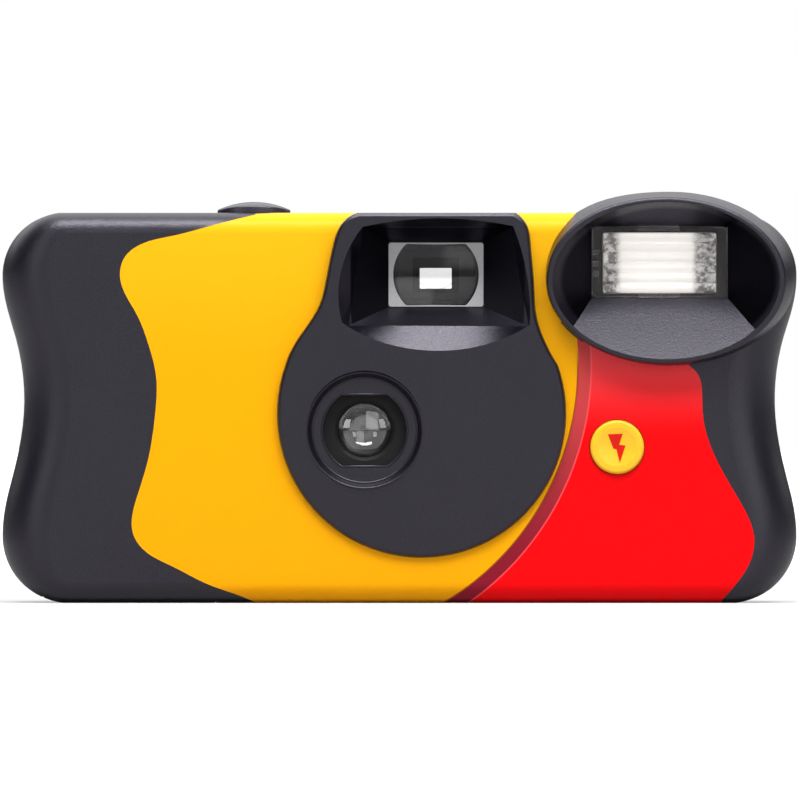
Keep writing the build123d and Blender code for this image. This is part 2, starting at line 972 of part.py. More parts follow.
with BuildPart() as main_capacitor:
    rod(
        across(capacitor_ends[0]),
        capacitor_centre,
        capacitor_radius,
        capacitor_ends[1] - capacitor_ends[0],
    )
    fillet(main_capacitor.edges().filter_by(GeomType.CIRCLE), capacitor_round)
save(main_capacitor, "main_capacitor")

# Trigger coil above the film roll
trigger_coil_centre = (6.6, 50.7)
trigger_coil_ends = (27.5, 37.5)
trigger_coil_radius = 2.6
trigger_cheek_radius = 3.4
trigger_cheek = 1.0

with BuildPart() as trigger_coil:
    rod(
        across(trigger_coil_ends[0]),
        trigger_coil_centre,
        trigger_coil_radius,
        trigger_coil_ends[1] - trigger_coil_ends[0],
    )
    for end in (trigger_coil_ends[0], trigger_coil_ends[1] - trigger_cheek):
        rod(across(end), trigger_coil_centre, trigger_cheek_radius, trigger_cheek)
save(trigger_coil, "trigger_coil")

# Flash tube, reflector and window
tube_y = -3.4
tube_z = (flash_low[1] + flash_high[1]) / 2
flash_tube_radius = 1.75
tube_ends = (26.6, 50.0)
electrode_radius = 0.6
electrode_reach = 1.4
reflector_front = ((28.0, 45.0), (48.6, 55.3))
reflector_rear = ((29.4, 47.6), (47.2, 52.7))
reflector_front_y = -7.2
reflector_rear_y = -0.3
reflector_wall = 0.4
tube_hole_clear = 0.15

with BuildPart() as flash_tube:
    rod(across(tube_ends[0]), (tube_y, tube_z), flash_tube_radius, tube_ends[1] - tube_ends[0])
    rod(
        across(tube_ends[0] - electrode_reach),
        (tube_y, tube_z),
        electrode_radius,
        tube_ends[1] - tube_ends[0] + electrode_reach + electrode_reach,
    )
save(flash_tube, "flash_tube")

with BuildPart() as flash_reflector:
    loft(
        [
            panel(facing(reflector_front_y), *reflector_front),
            panel(facing(reflector_rear_y), *reflector_rear),
        ],
        ruled=True,
    )
    loft(
        [
            panel(facing(reflector_front_y), *grown(*reflector_front, -reflector_wall)),
            panel(facing(reflector_rear_y - reflector_wall), *grown(*reflector_rear, -reflector_wall)),
        ],
        ruled=True,
        mode=Mode.SUBTRACT,
    )
    rod(
        across(tube_ends[0]),
        (tube_y, tube_z),
        flash_tube_radius + tube_hole_clear,
        tube_ends[1] - tube_ends[0],
        Mode.SUBTRACT,
    )
save(flash_reflector, "flash_reflector")

flash_window_clear = 0.05
flash_window_end = -7.9

with BuildPart() as flash_window:
    block(
        facing(flash_window_end),
        *grown(flash_low, flash_high, -flash_window_clear),
        flash_window_end - flash_y,
    )
save(flash_window, "flash_window")

# Neon ready lamp and the clear pipe that carries its light out beside the eyepiece
lamp_centre = (17.5, 10.6)
lamp_radius = 1.5
lamp_ends = (47.6, 53.0)
pipe_start_y = 14.0
pipe_flange_y = 15.3
pipe_flange_radius = 2.7

with BuildPart() as ready_lamp:
    rod(level(lamp_ends[0]), lamp_centre, lamp_radius, lamp_ends[1] - lamp_ends[0])
    fillet(ready_lamp.edges().filter_by(GeomType.CIRCLE), lamp_radius / 2)
save(ready_lamp, "ready_lamp")

with BuildPart() as ready_light_pipe:
    rod(facing(back_y), ready_centre, ready_radius, back_y - pipe_start_y)
    rod(facing(pipe_flange_y), ready_centre, pipe_flange_radius, pipe_flange_y - pipe_start_y)
save(ready_light_pipe, "ready_light_pipe")

# Counter window let into the back cover's top
window_flange = 0.8
window_flange_thickness = 0.6
window_fit = 0.05

with BuildPart() as counter_window:
    with BuildSketch(level(body_height - wall - window_flange_thickness)) as flange:
        with Locations(counter_window_centre):
            Rectangle(
                counter_window_width + window_flange + window_flange,
                counter_window_depth + window_flange,
            )
    extrude(flange.sketch, amount=window_flange_thickness)
    with BuildSketch(level(body_height - wall)) as pane:
        with Locations(counter_window_centre):
            Rectangle(counter_window_width - window_fit, counter_window_depth - window_fit)
    extrude(pane.sketch, amount=wall)
save(counter_window, "counter_window")

# Viewfinder lenses: a hollow-ground one in the recess, a bulging one behind the eyepiece
sight_lens_clear = 0.06
sight_lens_end = -7.1
hollow_radius = 6.3
hollow_depth = 0.9
hollow_sphere = (hollow_radius**2 + hollow_depth**2) / (hollow_depth + hollow_depth)
sight_centre_x = (sight_low[0] + sight_high[0]) / 2
sight_centre_z = (sight_low[1] + sight_high[1]) / 2
rear_lens_width = 9.6
rear_lens_height = 7.4
rear_lens_y = (13.3, 15.3)
rear_lens_bulge = 0.7

with BuildPart() as viewfinder_front_lens:
    block(
        facing(sight_lens_end),
        *grown(sight_low, sight_high, -sight_lens_clear),
        sight_lens_end - sight_y,
    )
    with Locations((sight_centre_x, sight_y + hollow_depth - hollow_sphere, sight_centre_z)):
        Sphere(hollow_sphere, mode=Mode.SUBTRACT)
save(viewfinder_front_lens, "viewfinder_front_lens")

with BuildPart() as viewfinder_rear_lens:
    with BuildSketch(facing(rear_lens_y[1])) as rear_glass:
        with Locations(eyepiece_centre):
            Rectangle(rear_lens_width, rear_lens_height)
    extrude(rear_glass.sketch, amount=rear_lens_y[1] - rear_lens_y[0] - rear_lens_bulge)
    with BuildSketch(facing(rear_lens_y[0] + rear_lens_bulge)) as bulge_foot:
        with Locations(eyepiece_centre):
            Ellipse(rear_lens_width / 2 - rear_lens_bulge, rear_lens_height / 2 - rear_lens_bulge)
    extrude(bulge_foot.sketch, amount=rear_lens_bulge)
    fillet(viewfinder_rear_lens.faces().sort_by(Axis.Y)[0].edges(), rear_lens_bulge / 2)
save(viewfinder_rear_lens, "viewfinder_rear_lens")

# Taking lens between its retainer and its board
retainer_y = (-11.85, -10.7)
retainer_radius = 8.4
retainer_hole_radius = 4.0
retainer_chamfer = 0.5
glass_radius = 4.6
glass_dome_radius = 3.85
glass_y = (-10.65, -9.25)
glass_dome = 0.9
board_plate_y = (-9.2, -8.2)
board_plate_low = (-15.0, 16.6)
board_plate_high = (5.0, 34.4)
aperture_radius = 1.6
lens_well_radius = 4.8
peg_radius = 0.8
peg_clear = 0.05
pegs = ((-13.6, 18.0), (3.6, 18.0), (3.6, 33.0))

with BuildPart() as lens_retainer:
    tube(
        facing(retainer_y[1]),
        (lens_x, lens_z),
        retainer_radius,
        retainer_hole_radius,
        retainer_y[1] - retainer_y[0],
    )
    front_rims = lens_retainer.edges().filter_by(GeomType.CIRCLE).sort_by(Axis.Y)[:2]
    chamfer(front_rims.sort_by(SortBy.LENGTH)[0], retainer_chamfer)
save(lens_retainer, "lens_retainer")

with BuildPart() as taking_lens:
    rod(facing(glass_y[1]), (lens_x, lens_z), glass_radius, glass_y[1] - glass_y[0])
    sphere_radius = (glass_dome_radius**2 + glass_dome**2) / (glass_dome + glass_dome)
    with BuildPart(mode=Mode.PRIVATE) as dome:
        rod(facing(glass_y[0]), (lens_x, lens_z), glass_dome_radius, glass_dome)
        with Locations((lens_x, glass_y[0] - glass_dome + sphere_radius, lens_z)):
            Sphere(sphere_radius, mode=Mode.INTERSECT)
    add(dome.part)
save(taking_lens, "taking_lens")

with BuildPart() as lens_board:
    block(
        facing(board_plate_y[1]),
        board_plate_low,
        board_plate_high,
        board_plate_y[1] - board_plate_y[0],
    )
    tube(
        facing(board_plate_y[0]),
        (lens_x, lens_z),
        retainer_radius - gap,
        lens_well_radius,
        board_plate_y[0] - retainer_y[1],
    )
    rod(
        facing(board_plate_y[1] + overrun),
        (lens_x, lens_z),
        aperture_radius,
        board_plate_y[1] - board_plate_y[0] + overrun + overrun,
        Mode.SUBTRACT,
    )
    for peg in pegs:
        rod(
            facing(board_plate_y[1] + overrun),
            peg,
            peg_radius + peg_clear,
            board_plate_y[1] - board_plate_y[0] + overrun + overrun,
            Mode.SUBTRACT,
        )
save(lens_board, "lens_board")

# Film cassette, neck upwards: shell with its lip, two caps, two felts
shell_foot = 4.9
shell_head = 45.9
shell_wall = 0.35
cap_radius = 12.65
cap_thickness = 1.0
cap_round = 0.3
neck_radius = 5.1
neck_hole_radius = 5.5
foot_radius = 3.9
foot_hole_radius = 4.2
lip_y = (13.3, 15.1)
lip_wall = 0.3
lip_end = -28.6
lip_start = -38.0
felt_ends = (-33.0, -28.9)
felt_y = ((13.62, 14.08), (14.32, 14.78))
felt_inset = 0.4

with BuildPart() as cassette_shell:
    rod(level(shell_foot), (cassette_x, cassette_y), cassette_radius, shell_head - shell_foot)
    block(
        level(shell_foot),
        (cassette_x, lip_y[0]),
        (lip_end, lip_y[1]),
        shell_head - shell_foot,
    )
    rod(
        level(shell_foot - overrun),
        (cassette_x, cassette_y),
        cassette_radius - shell_wall,
        shell_head - shell_foot + overrun + overrun,
        Mode.SUBTRACT,
    )
    block(
        level(shell_foot - overrun),
        (lip_start, lip_y[0] + lip_wall),
        (lip_end + overrun, lip_y[1] - lip_wall),
        shell_head - shell_foot + overrun + overrun,
        Mode.SUBTRACT,
    )
save(cassette_shell, "cassette_shell")

with BuildPart() as cassette_lower_cap:
    rod(level(shell_foot), (cassette_x, cassette_y), cap_radius, -cap_thickness)
    fillet(cassette_lower_cap.faces().sort_by(Axis.Z)[0].edges(), cap_round)
    rod(
        level(shell_foot),
        (cassette_x, cassette_y),
        foot_hole_radius,
        -cap_thickness,
        Mode.SUBTRACT,
    )
save(cassette_lower_cap, "cassette_lower_cap")

with BuildPart() as cassette_upper_cap:
    rod(level(shell_head), (cassette_x, cassette_y), cap_radius, cap_thickness)
    fillet(cassette_upper_cap.faces().sort_by(Axis.Z)[-1].edges(), cap_round)
    rod(
        level(shell_head),
        (cassette_x, cassette_y),
        neck_hole_radius,
        cap_thickness,
        Mode.SUBTRACT,
    )
save(cassette_upper_cap, "cassette_upper_cap")


def felt(ends):
    """One strip of the light trap in the cassette's lip."""
    block(
        level(shell_foot + felt_inset),
        (felt_ends[0], ends[0]),
        (felt_ends[1], ends[1]),
        shell_head - shell_foot - felt_inset - felt_inset,
    )


with BuildPart() as light_trap_inner:
    felt(felt_y[0])
save(light_trap_inner, "light_trap_inner")

with BuildPart() as light_trap_outer:
    felt(felt_y[1])
save(light_trap_outer, "light_trap_outer")

# Spool inside the cassette, with a keyed neck
core_radius = 5.6
core_clear = 0.2
neck_top = 49.6
neck_bore_radius = 3.4
neck_bore_depth = 7.0
foot_reach = 1.3
key_thickness = 1.2
key_height = 3.0

with BuildPart() as cassette_spool:
    rod(
        level(shell_foot + core_clear),
        (cassette_x, cassette_y),
        core_radius,
        shell_head - shell_foot - core_clear - core_clear,
    )
    rod(
        level(shell_foot + core_clear),
        (cassette_x, cassette_y),
        foot_radius,
        -foot_reach - core_clear,
    )
    rod(
        level(shell_head - core_clear),
        (cassette_x, cassette_y),
        neck_radius,
        neck_top - shell_head + core_clear,
    )
    rod(
        level(neck_top),
        (cassette_x, cassette_y),
        neck_bore_radius,
        -neck_bore_depth,
        Mode.SUBTRACT,
    )
    block(
        level(neck_top - neck_bore_depth),
        (cassette_x - neck_bore_radius, cassette_y - key_thickness / 2),
        (cassette_x + neck_bore_radius, cassette_y + key_thickness / 2),
        key_height,
    )
save(cassette_spool, "cassette_spool")

# Thumbwheel: knurled rim, ring that turns in the frame, fork over the spool's key, spindle
wheel_radius = 14.2
wheel_foot = 50.2
knurl_count = 54
knurl_radius = 0.42
ring_outer = 6.5
ring_inner = 5.3
ring_foot = 47.8
fork_radius = 3.0
fork_foot = 43.4
fork_slot = 1.6
fork_slot_top = 46.4
spindle_top = 55.6

with BuildPart() as thumbwheel:
    with BuildSketch(level(wheel_foot)) as rim_outline:
        with Locations((cassette_x, cassette_y)):
            Circle(wheel_radius)
            with PolarLocations(wheel_radius, knurl_count):
                Circle(knurl_radius, mode=Mode.SUBTRACT)
    extrude(rim_outline.sketch, amount=wheel_top - wheel_foot)
    tube(
        level(ring_foot),
        (cassette_x, cassette_y),
        ring_outer,
        ring_inner,
        wheel_foot - ring_foot,
    )
    rod(level(fork_foot), (cassette_x, cassette_y), fork_radius, wheel_foot - fork_foot)
    block(
        level(fork_foot),
        (cassette_x - fork_radius, cassette_y - fork_slot / 2),
        (cassette_x + fork_radius, cassette_y + fork_slot / 2),
        fork_slot_top - fork_foot,
        Mode.SUBTRACT,
    )
    rod(level(wheel_top), (cassette_x, cassette_y), spindle_radius, spindle_top - wheel_top)
save(thumbwheel, "thumbwheel")

# Film: perforated strip across the gate, unexposed roll, and the supply spool in it. Three
# perforations run together where the sprocket's teeth pass, as the strip itself stays still
sprocket = (-19.8, 8.18)
film_foot = lens_z - film_height / 2
strip_ends = (-36.0, roll_x)
perforation_pitch = 4.75
perforation_width = 2.0
perforation_height = 2.8
perforation_row = 14.09
perforation_count = 13
perforation_first = -34.05
perforation_round = 0.4
supply_core_radius = 4.0
supply_core_ends = (5.3, 45.7)
supply_pivot_radius = 1.5
supply_pivot_reach = 1.1

with BuildPart() as film_strip:
    with BuildSketch(facing(film_y + film_thickness)) as strip:
        with Locations(((strip_ends[0] + strip_ends[1]) / 2, lens_z)):
            Rectangle(strip_ends[1] - strip_ends[0], film_height)
        for hole in range(perforation_count):
            for row in (-perforation_row, perforation_row):
                with Locations((perforation_first + hole * perforation_pitch, lens_z + row)):
                    RectangleRounded(
                        perforation_width,
                        perforation_height,
                        perforation_round,
                        mode=Mode.SUBTRACT,
                    )
        with Locations((sprocket[0], lens_z + perforation_row)):
            RectangleRounded(
                perforation_pitch + perforation_pitch + perforation_width,
                perforation_height,
                perforation_round,
                mode=Mode.SUBTRACT,
            )
    extrude(strip.sketch, amount=film_thickness)
save(film_strip, "film_strip")

with BuildPart() as film_roll:
    tube(level(film_foot), (roll_x, roll_y), roll_radius, supply_core_radius, film_height)
save(film_roll, "film_roll")

with BuildPart() as supply_spool:
    rod(
        level(supply_core_ends[0]),
        (roll_x, roll_y),
        supply_core_radius,
        supply_core_ends[1] - supply_core_ends[0],
    )
    rod(
        level(supply_core_ends[0] - supply_pivot_reach),
        (roll_x, roll_y),
        supply_pivot_radius,
        supply_core_ends[1] - supply_core_ends[0] + supply_pivot_reach + supply_pivot_reach,
    )
save(supply_spool, "supply_spool")

# Sprocket: a toothed wheel in the film's upper perforations, cam and counter finger on one shaft
sprocket_radius = 5.9
sprocket_levels = (38.8, 40.4)
tooth_count = 8
tooth_reach = 0.95
tooth_width = 1.2
tooth_root = 0.4
shaft_radius = 1.4
shaft_foot = 37.9
shaft_top = 55.0
cam_radius = 2.8
cam_flat = 2.2
cam_levels = (43.0, 44.4)
finger_reach = 1.95
finger_width = 1.0
dial_radius = 6.8
dial_levels = (53.6, 54.8)

with BuildPart() as sprocket_wheel:
    with BuildSketch(level(sprocket_levels[0])) as toothed:
        with Locations(sprocket):
            Circle(sprocket_radius)
            tooth_middle = sprocket_radius + (tooth_reach - tooth_root) / 2
            with PolarLocations(tooth_middle, tooth_count, start_angle=90):
                Rectangle(tooth_reach + tooth_root, tooth_width)
    extrude(toothed.sketch, amount=sprocket_levels[1] - sprocket_levels[0])
    rod(level(shaft_foot), sprocket, shaft_radius, shaft_top - shaft_foot)
    with BuildSketch(level(cam_levels[0])) as cam:
        with Locations(sprocket):
            Circle(cam_radius)
            Rectangle(
                cam_radius + cam_radius,
                cam_flat + cam_flat,
                mode=Mode.INTERSECT,
            )
    extrude(cam.sketch, amount=cam_levels[1] - cam_levels[0])
    block(
        level(dial_levels[0]),
        (sprocket[0] - finger_width / 2, sprocket[1]),
        (sprocket[0] + finger_width / 2, sprocket[1] + finger_reach),
        dial_levels[1] - dial_levels[0],
    )
save(sprocket_wheel, "sprocket_wheel")

# Counter dial with a notch for each picture
notch_count = 30
notch_radius = 0.35
dial_pin_radius = 1.0
running_clear = 0.05

with BuildPart() as counter_dial:
    with BuildSketch(level(dial_levels[0])) as dial_outline:
        with Locations(counter):
            Circle(dial_radius)
            with PolarLocations(dial_radius, notch_count):
                Circle(notch_radius, mode=Mode.SUBTRACT)
            Circle(dial_pin_radius + running_clear, mode=Mode.SUBTRACT)
    extrude(dial_outline.sketch, amount=dial_levels[1] - dial_levels[0])
save(counter_dial, "counter_dial")

# Release lever, a rocker under the shutter button
rocker_pivot = (-17.0, 46.5)
rocker_pin_radius = 0.7
rocker_y = (-7.4, -6.0)
rocker_outline = (
    (-22.2, 47.2),
    (-21.9, 48.0),
    (-20.5, 48.0),
    (-19.2, 47.5),
    (-18.0, 47.6),
    (-16.4, 47.7),
    (-13.6, 47.1),
    (-13.4, 46.1),
    (-16.6, 45.3),
    (-17.8, 45.4),
)

with BuildPart() as release_lever:
    extrude(slab(facing(rocker_y[1]), rocker_outline), amount=rocker_y[1] - rocker_y[0])
    rod(
        facing(rocker_y[1]),
        rocker_pivot,
        rocker_pin_radius + running_clear,
        rocker_y[1] - rocker_y[0],
        Mode.SUBTRACT,
    )
save(release_lever, "release_lever")

# Drive lever: strikes the blade's tab with its front finger, and is cocked by its tail
drive_pivot = (-12.2, 0.75)
drive_hub_radius = 2.0
drive_pin_radius = 1.0
drive_levels = (43.0, 44.5)
drive_arm = ((-13.5, 0.75), (-14.0, -8.2), (-12.9, -8.2), (-10.9, 0.75))
drive_tail = ((-13.4, -0.4), (-18.0, 5.3), (-17.2, 6.4), (-11.2, 2.2))
finger_low = (-13.9, -8.2)
finger_high = (-12.9, -7.1)
finger_foot = 42.6
drive_spring_radius = 1.45
drive_spring_top = 46.4

with BuildPart() as drive_lever:
    rod(level(drive_levels[0]), drive_pivot, drive_hub_radius, drive_levels[1] - drive_levels[0])
    for arm in (drive_arm, drive_tail):
        extrude(slab(level(drive_levels[0]), arm), amount=drive_levels[1] - drive_levels[0])
    block(level(finger_foot), finger_low, finger_high, drive_levels[1] - finger_foot)
    rod(
        level(drive_levels[0]),
        drive_pivot,
        drive_pin_radius + running_clear,
        drive_levels[1] - drive_levels[0],
        Mode.SUBTRACT,
    )
save(drive_lever, "drive_lever")

with BuildPart() as drive_spring:
    coil(
        drive_pivot,
        drive_levels[1] + spring_wire + running_clear,
        drive_spring_top,
        drive_spring_radius,
        spring_wire,
        spring_turns,
    )
save(drive_spring, "drive_spring")

# Shutter blade, its pivot, and the light spring that closes it
blade_pivot = (-12.6, 31.0)
blade_y = (-7.85, -7.45)
blade_disc_radius = 2.3
blade_hub_radius = 1.4
blade_pin_radius = 0.6
blade_arm = ((-13.1, 29.8), (-6.0, 23.3), (-4.2, 27.3), (-11.6, 32.1))
blade_tab = ((-12.6, 31.0), (-12.6, 43.4), (-11.4, 43.4), (-11.3, 31.0))
blade_hook = ((-14.6, 30.6), (-14.6, 31.2), (-12.6, 31.6), (-12.6, 30.4))
return_spring_centre = (-14.3, -7.6)
return_spring_ends = (25.7, 30.4)
return_spring_radius = 0.4
return_spring_wire = 0.09

with BuildPart() as shutter_blade:
    rod(facing(blade_y[1]), (lens_x, lens_z), blade_disc_radius, blade_y[1] - blade_y[0])
    rod(facing(blade_y[1]), blade_pivot, blade_hub_radius, blade_y[1] - blade_y[0])
    for piece in (blade_arm, blade_tab, blade_hook):
        extrude(slab(facing(blade_y[1]), piece), amount=blade_y[1] - blade_y[0])
    rod(
        facing(blade_y[1]),
        blade_pivot,
        blade_pin_radius + running_clear,
        blade_y[1] - blade_y[0],
        Mode.SUBTRACT,
    )
save(shutter_blade, "shutter_blade")

with BuildPart() as shutter_return_spring:
    coil(
        return_spring_centre,
        *return_spring_ends,
        return_spring_radius,
        return_spring_wire,
        spring_turns + spring_turns,
    )
save(shutter_return_spring, "shutter_return_spring")

# Contacts that the open blade closes for the flash
sync_low = (-5.8, 38.6)
sync_high = (-4.4, 42.2)
sync_y = (-8.0, -7.05)

with BuildPart() as sync_contacts:
    block(facing(sync_y[1]), sync_low, sync_high, sync_y[1] - sync_y[0])
save(sync_contacts, "sync_contacts")

# Battery and its contacts
nub_radius = 2.7
nub_height = 1.0
contact_half = 4.0
contact_thickness = 0.4
contact_clear = 0.1

with BuildPart() as battery:
    rod(level(battery_z), (battery_x, battery_y), battery_radius, battery_length - nub_height)
    fillet(battery.edges().filter_by(GeomType.CIRCLE), nub_height / 2)
    rod(level(battery_z), (battery_x, battery_y), nub_radius, battery_length)
save(battery, "battery")


def contact(foot):
    """A flat battery contact, from this height up."""
    block(
        level(foot),
        (battery_x - contact_half, battery_y - contact_half),
        (battery_x + contact_half, battery_y + contact_half),
        contact_thickness,
    )


with BuildPart() as battery_contact_upper:
    contact(battery_z + battery_length + contact_clear)
save(battery_contact_upper, "battery_contact_upper")

with BuildPart() as battery_contact_lower:
    contact(battery_z - contact_clear - contact_thickness)
save(battery_contact_lower, "battery_contact_lower")

# Pawl beside the thumbwheel
pawl_low = (-27.4, -8.5)
pawl_high = (-26.75, -5.0)
pawl_top = 53.0
deck_top = 48.8

with BuildPart() as wheel_pawl:
    block(level(deck_top), pawl_low, pawl_high, pawl_top - deck_top)
save(wheel_pawl, "wheel_pawl")

# Inner frame: film gate, light box, chambers, decks, viewfinder tube, battery cradle
gate_y = (12.6, 13.9)
gate_low = (-28.0, 5.0)
gate_high = (19.4, 45.4)
rail_reach = 0.15
rail_height = 0.9
rail_gap = 0.5
box_front_y = -6.0
box_front_size = 12.0
box_wall = 1.2
front_wall_y = (-7.0, -6.0)
front_wall_low = (-16.0, 16.4)
front_wall_high = (8.0, 42.4)
blade_window_radius = 2.9
lower_deck = (41.6, 42.8)
lower_deck_low = (-26.8, -6.0)
lower_deck_high = (-2.4, 13.0)
chamber_inner = 12.85
chamber_outer = 13.6
chamber_ends = (5.0, 47.6)
chamber_cut_y = 11.6
chamber_back_y = 15.1
deck_back_y = 12.4
deck_cut_foot = 47.2
ring_clear = 0.06
ear_low = (-29.0, -9.5)
ear_high = (-25.6, -3.5)
post_left = -26.6
shelf_right = -17.6
shelf_thickness = 0.8
shelf_hole_clear = 0.15
supply_inner = 9.6
supply_outer = 10.7
supply_ends = (5.0, 46.0)
supply_lid = 1.0
supply_back_y = 13.7
floor_plate = (4.0, 6.0)
floor_low_y = 2.4
sprocket_slot = (-25.4, -14.2)
sprocket_slot_levels = (38.5, 40.9)
cradle_inner = 7.3
cradle_outer = 8.0
cradle_ends = (8.0, 44.0)
cradle_cut_y = 11.0
web_ends = (36.6, 38.2)
web_y = (4.0, 7.0)
sight_tube_low = (-3.4, 42.3)
sight_tube_high = (14.2, 54.3)
sight_tube_wall = 1.1
sight_tube_y = (-6.9, 13.0)
dial_post_radius = 1.8
dial_post_top = 53.4
dial_pin_top = 54.7
drive_post_top = 46.6
rocker_post_low = (-18.2, -5.8)
rocker_post_high = (-15.8, -4.6)
rocker_post_top = 47.6
board_pegs = ((26.6, 12.0), (26.6, 36.0))
board_peg_radius = 1.2
board_peg_root_y = -4.4
spring_hook = (-14.3, 25.3)
spring_hook_radius = 0.35
flash_cut_foot = 44.6
flash_cut_left = 27.4

with BuildPart() as main_frame:
    block(facing(gate_y[1]), gate_low, gate_high, gate_y[1] - gate_y[0])
    for offset in (
        -gate_height / 2 - rail_gap - rail_height,
        gate_height / 2 + rail_gap - rail_height / 2,
    ):
        block(
            facing(gate_y[1] + rail_reach),
            (gate_low[0], lens_z + offset),
            (gate_high[0], lens_z + offset + rail_height),
            rail_reach + box_wall,
        )
    gate_opening = ((lens_x - gate_width / 2, lens_z - gate_height / 2),)
    gate_opening += ((lens_x + gate_width / 2, lens_z + gate_height / 2),)
    box_opening = ((lens_x - box_front_size / 2, lens_z - box_front_size / 2),)
    box_opening += ((lens_x + box_front_size / 2, lens_z + box_front_size / 2),)
    loft(
        [
            panel(facing(gate_y[0]), *grown(*gate_opening, box_wall)),
            panel(facing(box_front_y), *grown(*box_opening, box_wall)),
        ],
        ruled=True,
    )
    block(
        facing(front_wall_y[1]),
        front_wall_low,
        front_wall_high,
        front_wall_y[1] - front_wall_y[0],
    )
    block(
        level(lower_deck[0]),
        lower_deck_low,
        lower_deck_high,
        lower_deck[1] - lower_deck[0],
    )
    rod(
        level(chamber_ends[0]),
        (cassette_x, cassette_y),
        chamber_outer,
        deck_top - chamber_ends[0],
    )
    block(level(chamber_ends[1]), ear_low, ear_high, deck_top - chamber_ends[1])
    block(
        level(chamber_ends[1]),
        (post_left, ear_low[1]),
        ear_high,
        shelf_top - chamber_ends[1],
    )
    block(
        level(shelf_top - shelf_thickness),
        (post_left, ear_low[1]),
        (shelf_right, ear_high[1]),
        shelf_thickness,
    )
    rod(
        level(supply_ends[0] - supply_lid),
        (roll_x, roll_y),
        supply_outer,
        supply_ends[1] - supply_ends[0] + supply_lid + supply_lid,
    )
    block(
        level(floor_plate[0]),
        (gate_low[0], floor_low_y),
        (roll_x, gate_y[1]),
        floor_plate[1] - floor_plate[0],
    )
    tube(
        level(cradle_ends[0]),
        (battery_x, battery_y),
        cradle_outer,
        cradle_inner,
        cradle_ends[1] - cradle_ends[0],
    )
    block(
        level(cradle_ends[0]),
        (battery_x, -body_depth),
        (body_width, body_depth),
        body_height,
        Mode.SUBTRACT,
    )
    block(
        level(cradle_ends[0]),
        (roll_x + supply_outer, cradle_cut_y),
        (body_width, body_depth),
        body_height,
        Mode.SUBTRACT,
    )
    block(
        level(cradle_ends[0]),
        (web_ends[0], web_y[0]),
        (web_ends[1], web_y[1]),
        supply_ends[1] - cradle_ends[0],
    )
    rod(
        level(chamber_ends[0] - overrun),
        (cassette_x, cassette_y),
        chamber_inner,
        chamber_ends[1] - chamber_ends[0] + overrun,
        Mode.SUBTRACT,
    )
    rod(
        level(supply_ends[0]),
        (roll_x, roll_y),
        supply_inner,
        supply_ends[1] - supply_ends[0],
        Mode.SUBTRACT,
    )
    block(
        level(floor_plate[0] - overrun),
        (cassette_x, chamber_cut_y),
        (gate_low[0], body_depth),
        chamber_ends[1] - floor_plate[0] + overrun,
        Mode.SUBTRACT,
    )
    block(
        level(floor_plate[0] - overrun),
        (-body_width, chamber_back_y),
        (cassette_x, body_depth),
        body_height,
        Mode.SUBTRACT,
    )
    block(
        level(deck_cut_foot),
        (-body_width, deck_back_y),
        (gate_low[0], body_depth),
        body_height,
        Mode.SUBTRACT,
    )
    block(
        level(floor_plate[0] - overrun),
        (gate_high[0], supply_back_y),
        (body_width, body_depth),
        body_height,
        Mode.SUBTRACT,
    )
    block(
        level(floor_plate[1]),
        (roll_x - supply_outer, gate_y[1]),
        (gate_high[0], body_depth),
        body_height,
        Mode.SUBTRACT,
    )
    rod(
        level(chamber_ends[1] - overrun),
        (cassette_x, cassette_y),
        ring_outer + ring_clear,
        deck_top - chamber_ends[1] + overrun + overrun,
        Mode.SUBTRACT,
    )
    rod(
        level(shelf_top - shelf_thickness - overrun),
        button,
        stem_radius + shelf_hole_clear,
        shelf_thickness + overrun + overrun,
        Mode.SUBTRACT,
    )
    rod(
        level(supply_ends[0] - supply_lid - overrun),
        (roll_x, roll_y),
        supply_pivot_radius + running_clear,
        body_height,
        Mode.SUBTRACT,
    )
    block(
        facing(gate_y[1] + overrun),
        *gate_opening,
        gate_y[1] - gate_y[0] + overrun,
        Mode.SUBTRACT,
    )
    loft(
        [
            panel(facing(gate_y[0]), *gate_opening),
            panel(facing(box_front_y), *box_opening),
        ],
        ruled=True,
        mode=Mode.SUBTRACT,
    )
    rod(
        facing(front_wall_y[1] + overrun),
        (lens_x, lens_z),
        blade_window_radius,
        front_wall_y[1] - front_wall_y[0] + overrun + overrun,
        Mode.SUBTRACT,
    )
    block(
        facing(gate_y[1] + overrun),
        (sprocket_slot[0], sprocket_slot_levels[0]),
        (sprocket_slot[1], sprocket_slot_levels[1]),
        gate_y[1] - gate_y[0] + overrun + overrun,
        Mode.SUBTRACT,
    )
    rod(
        level(lower_deck[0] - overrun),
        sprocket,
        shaft_radius + running_clear,
        lower_deck[1] - lower_deck[0] + overrun + overrun,
        Mode.SUBTRACT,
    )
    block(
        facing(sight_tube_y[1]),
        sight_tube_low,
        sight_tube_high,
        sight_tube_y[1] - sight_tube_y[0],
    )
    block(
        facing(sight_tube_y[1] + overrun),
        *grown(sight_tube_low, sight_tube_high, -sight_tube_wall),
        sight_tube_y[1] - sight_tube_y[0] + overrun + overrun,
        Mode.SUBTRACT,
    )
    rod(level(lower_deck[0]), counter, dial_post_radius, dial_post_top - lower_deck[0])
    rod(level(lower_deck[0]), counter, dial_pin_radius, dial_pin_top - lower_deck[0])
    rod(level(lower_deck[0]), drive_pivot, drive_pin_radius, drive_post_top - lower_deck[0])
    block(
        level(lower_deck[0]),
        rocker_post_low,
        rocker_post_high,
        rocker_post_top - lower_deck[0],
    )
    rod(
        facing(rocker_post_high[1]),
        rocker_pivot,
        rocker_pin_radius,
        rocker_post_high[1] - rocker_y[0],
    )
    rod(
        facing(front_wall_y[1]),
        blade_pivot,
        blade_pin_radius,
        front_wall_y[1] - board_plate_y[1] - running_clear,
    )
    rod(
        facing(front_wall_y[1]),
        spring_hook,
        spring_hook_radius,
        front_wall_y[1] - board_plate_y[1] - running_clear,
    )
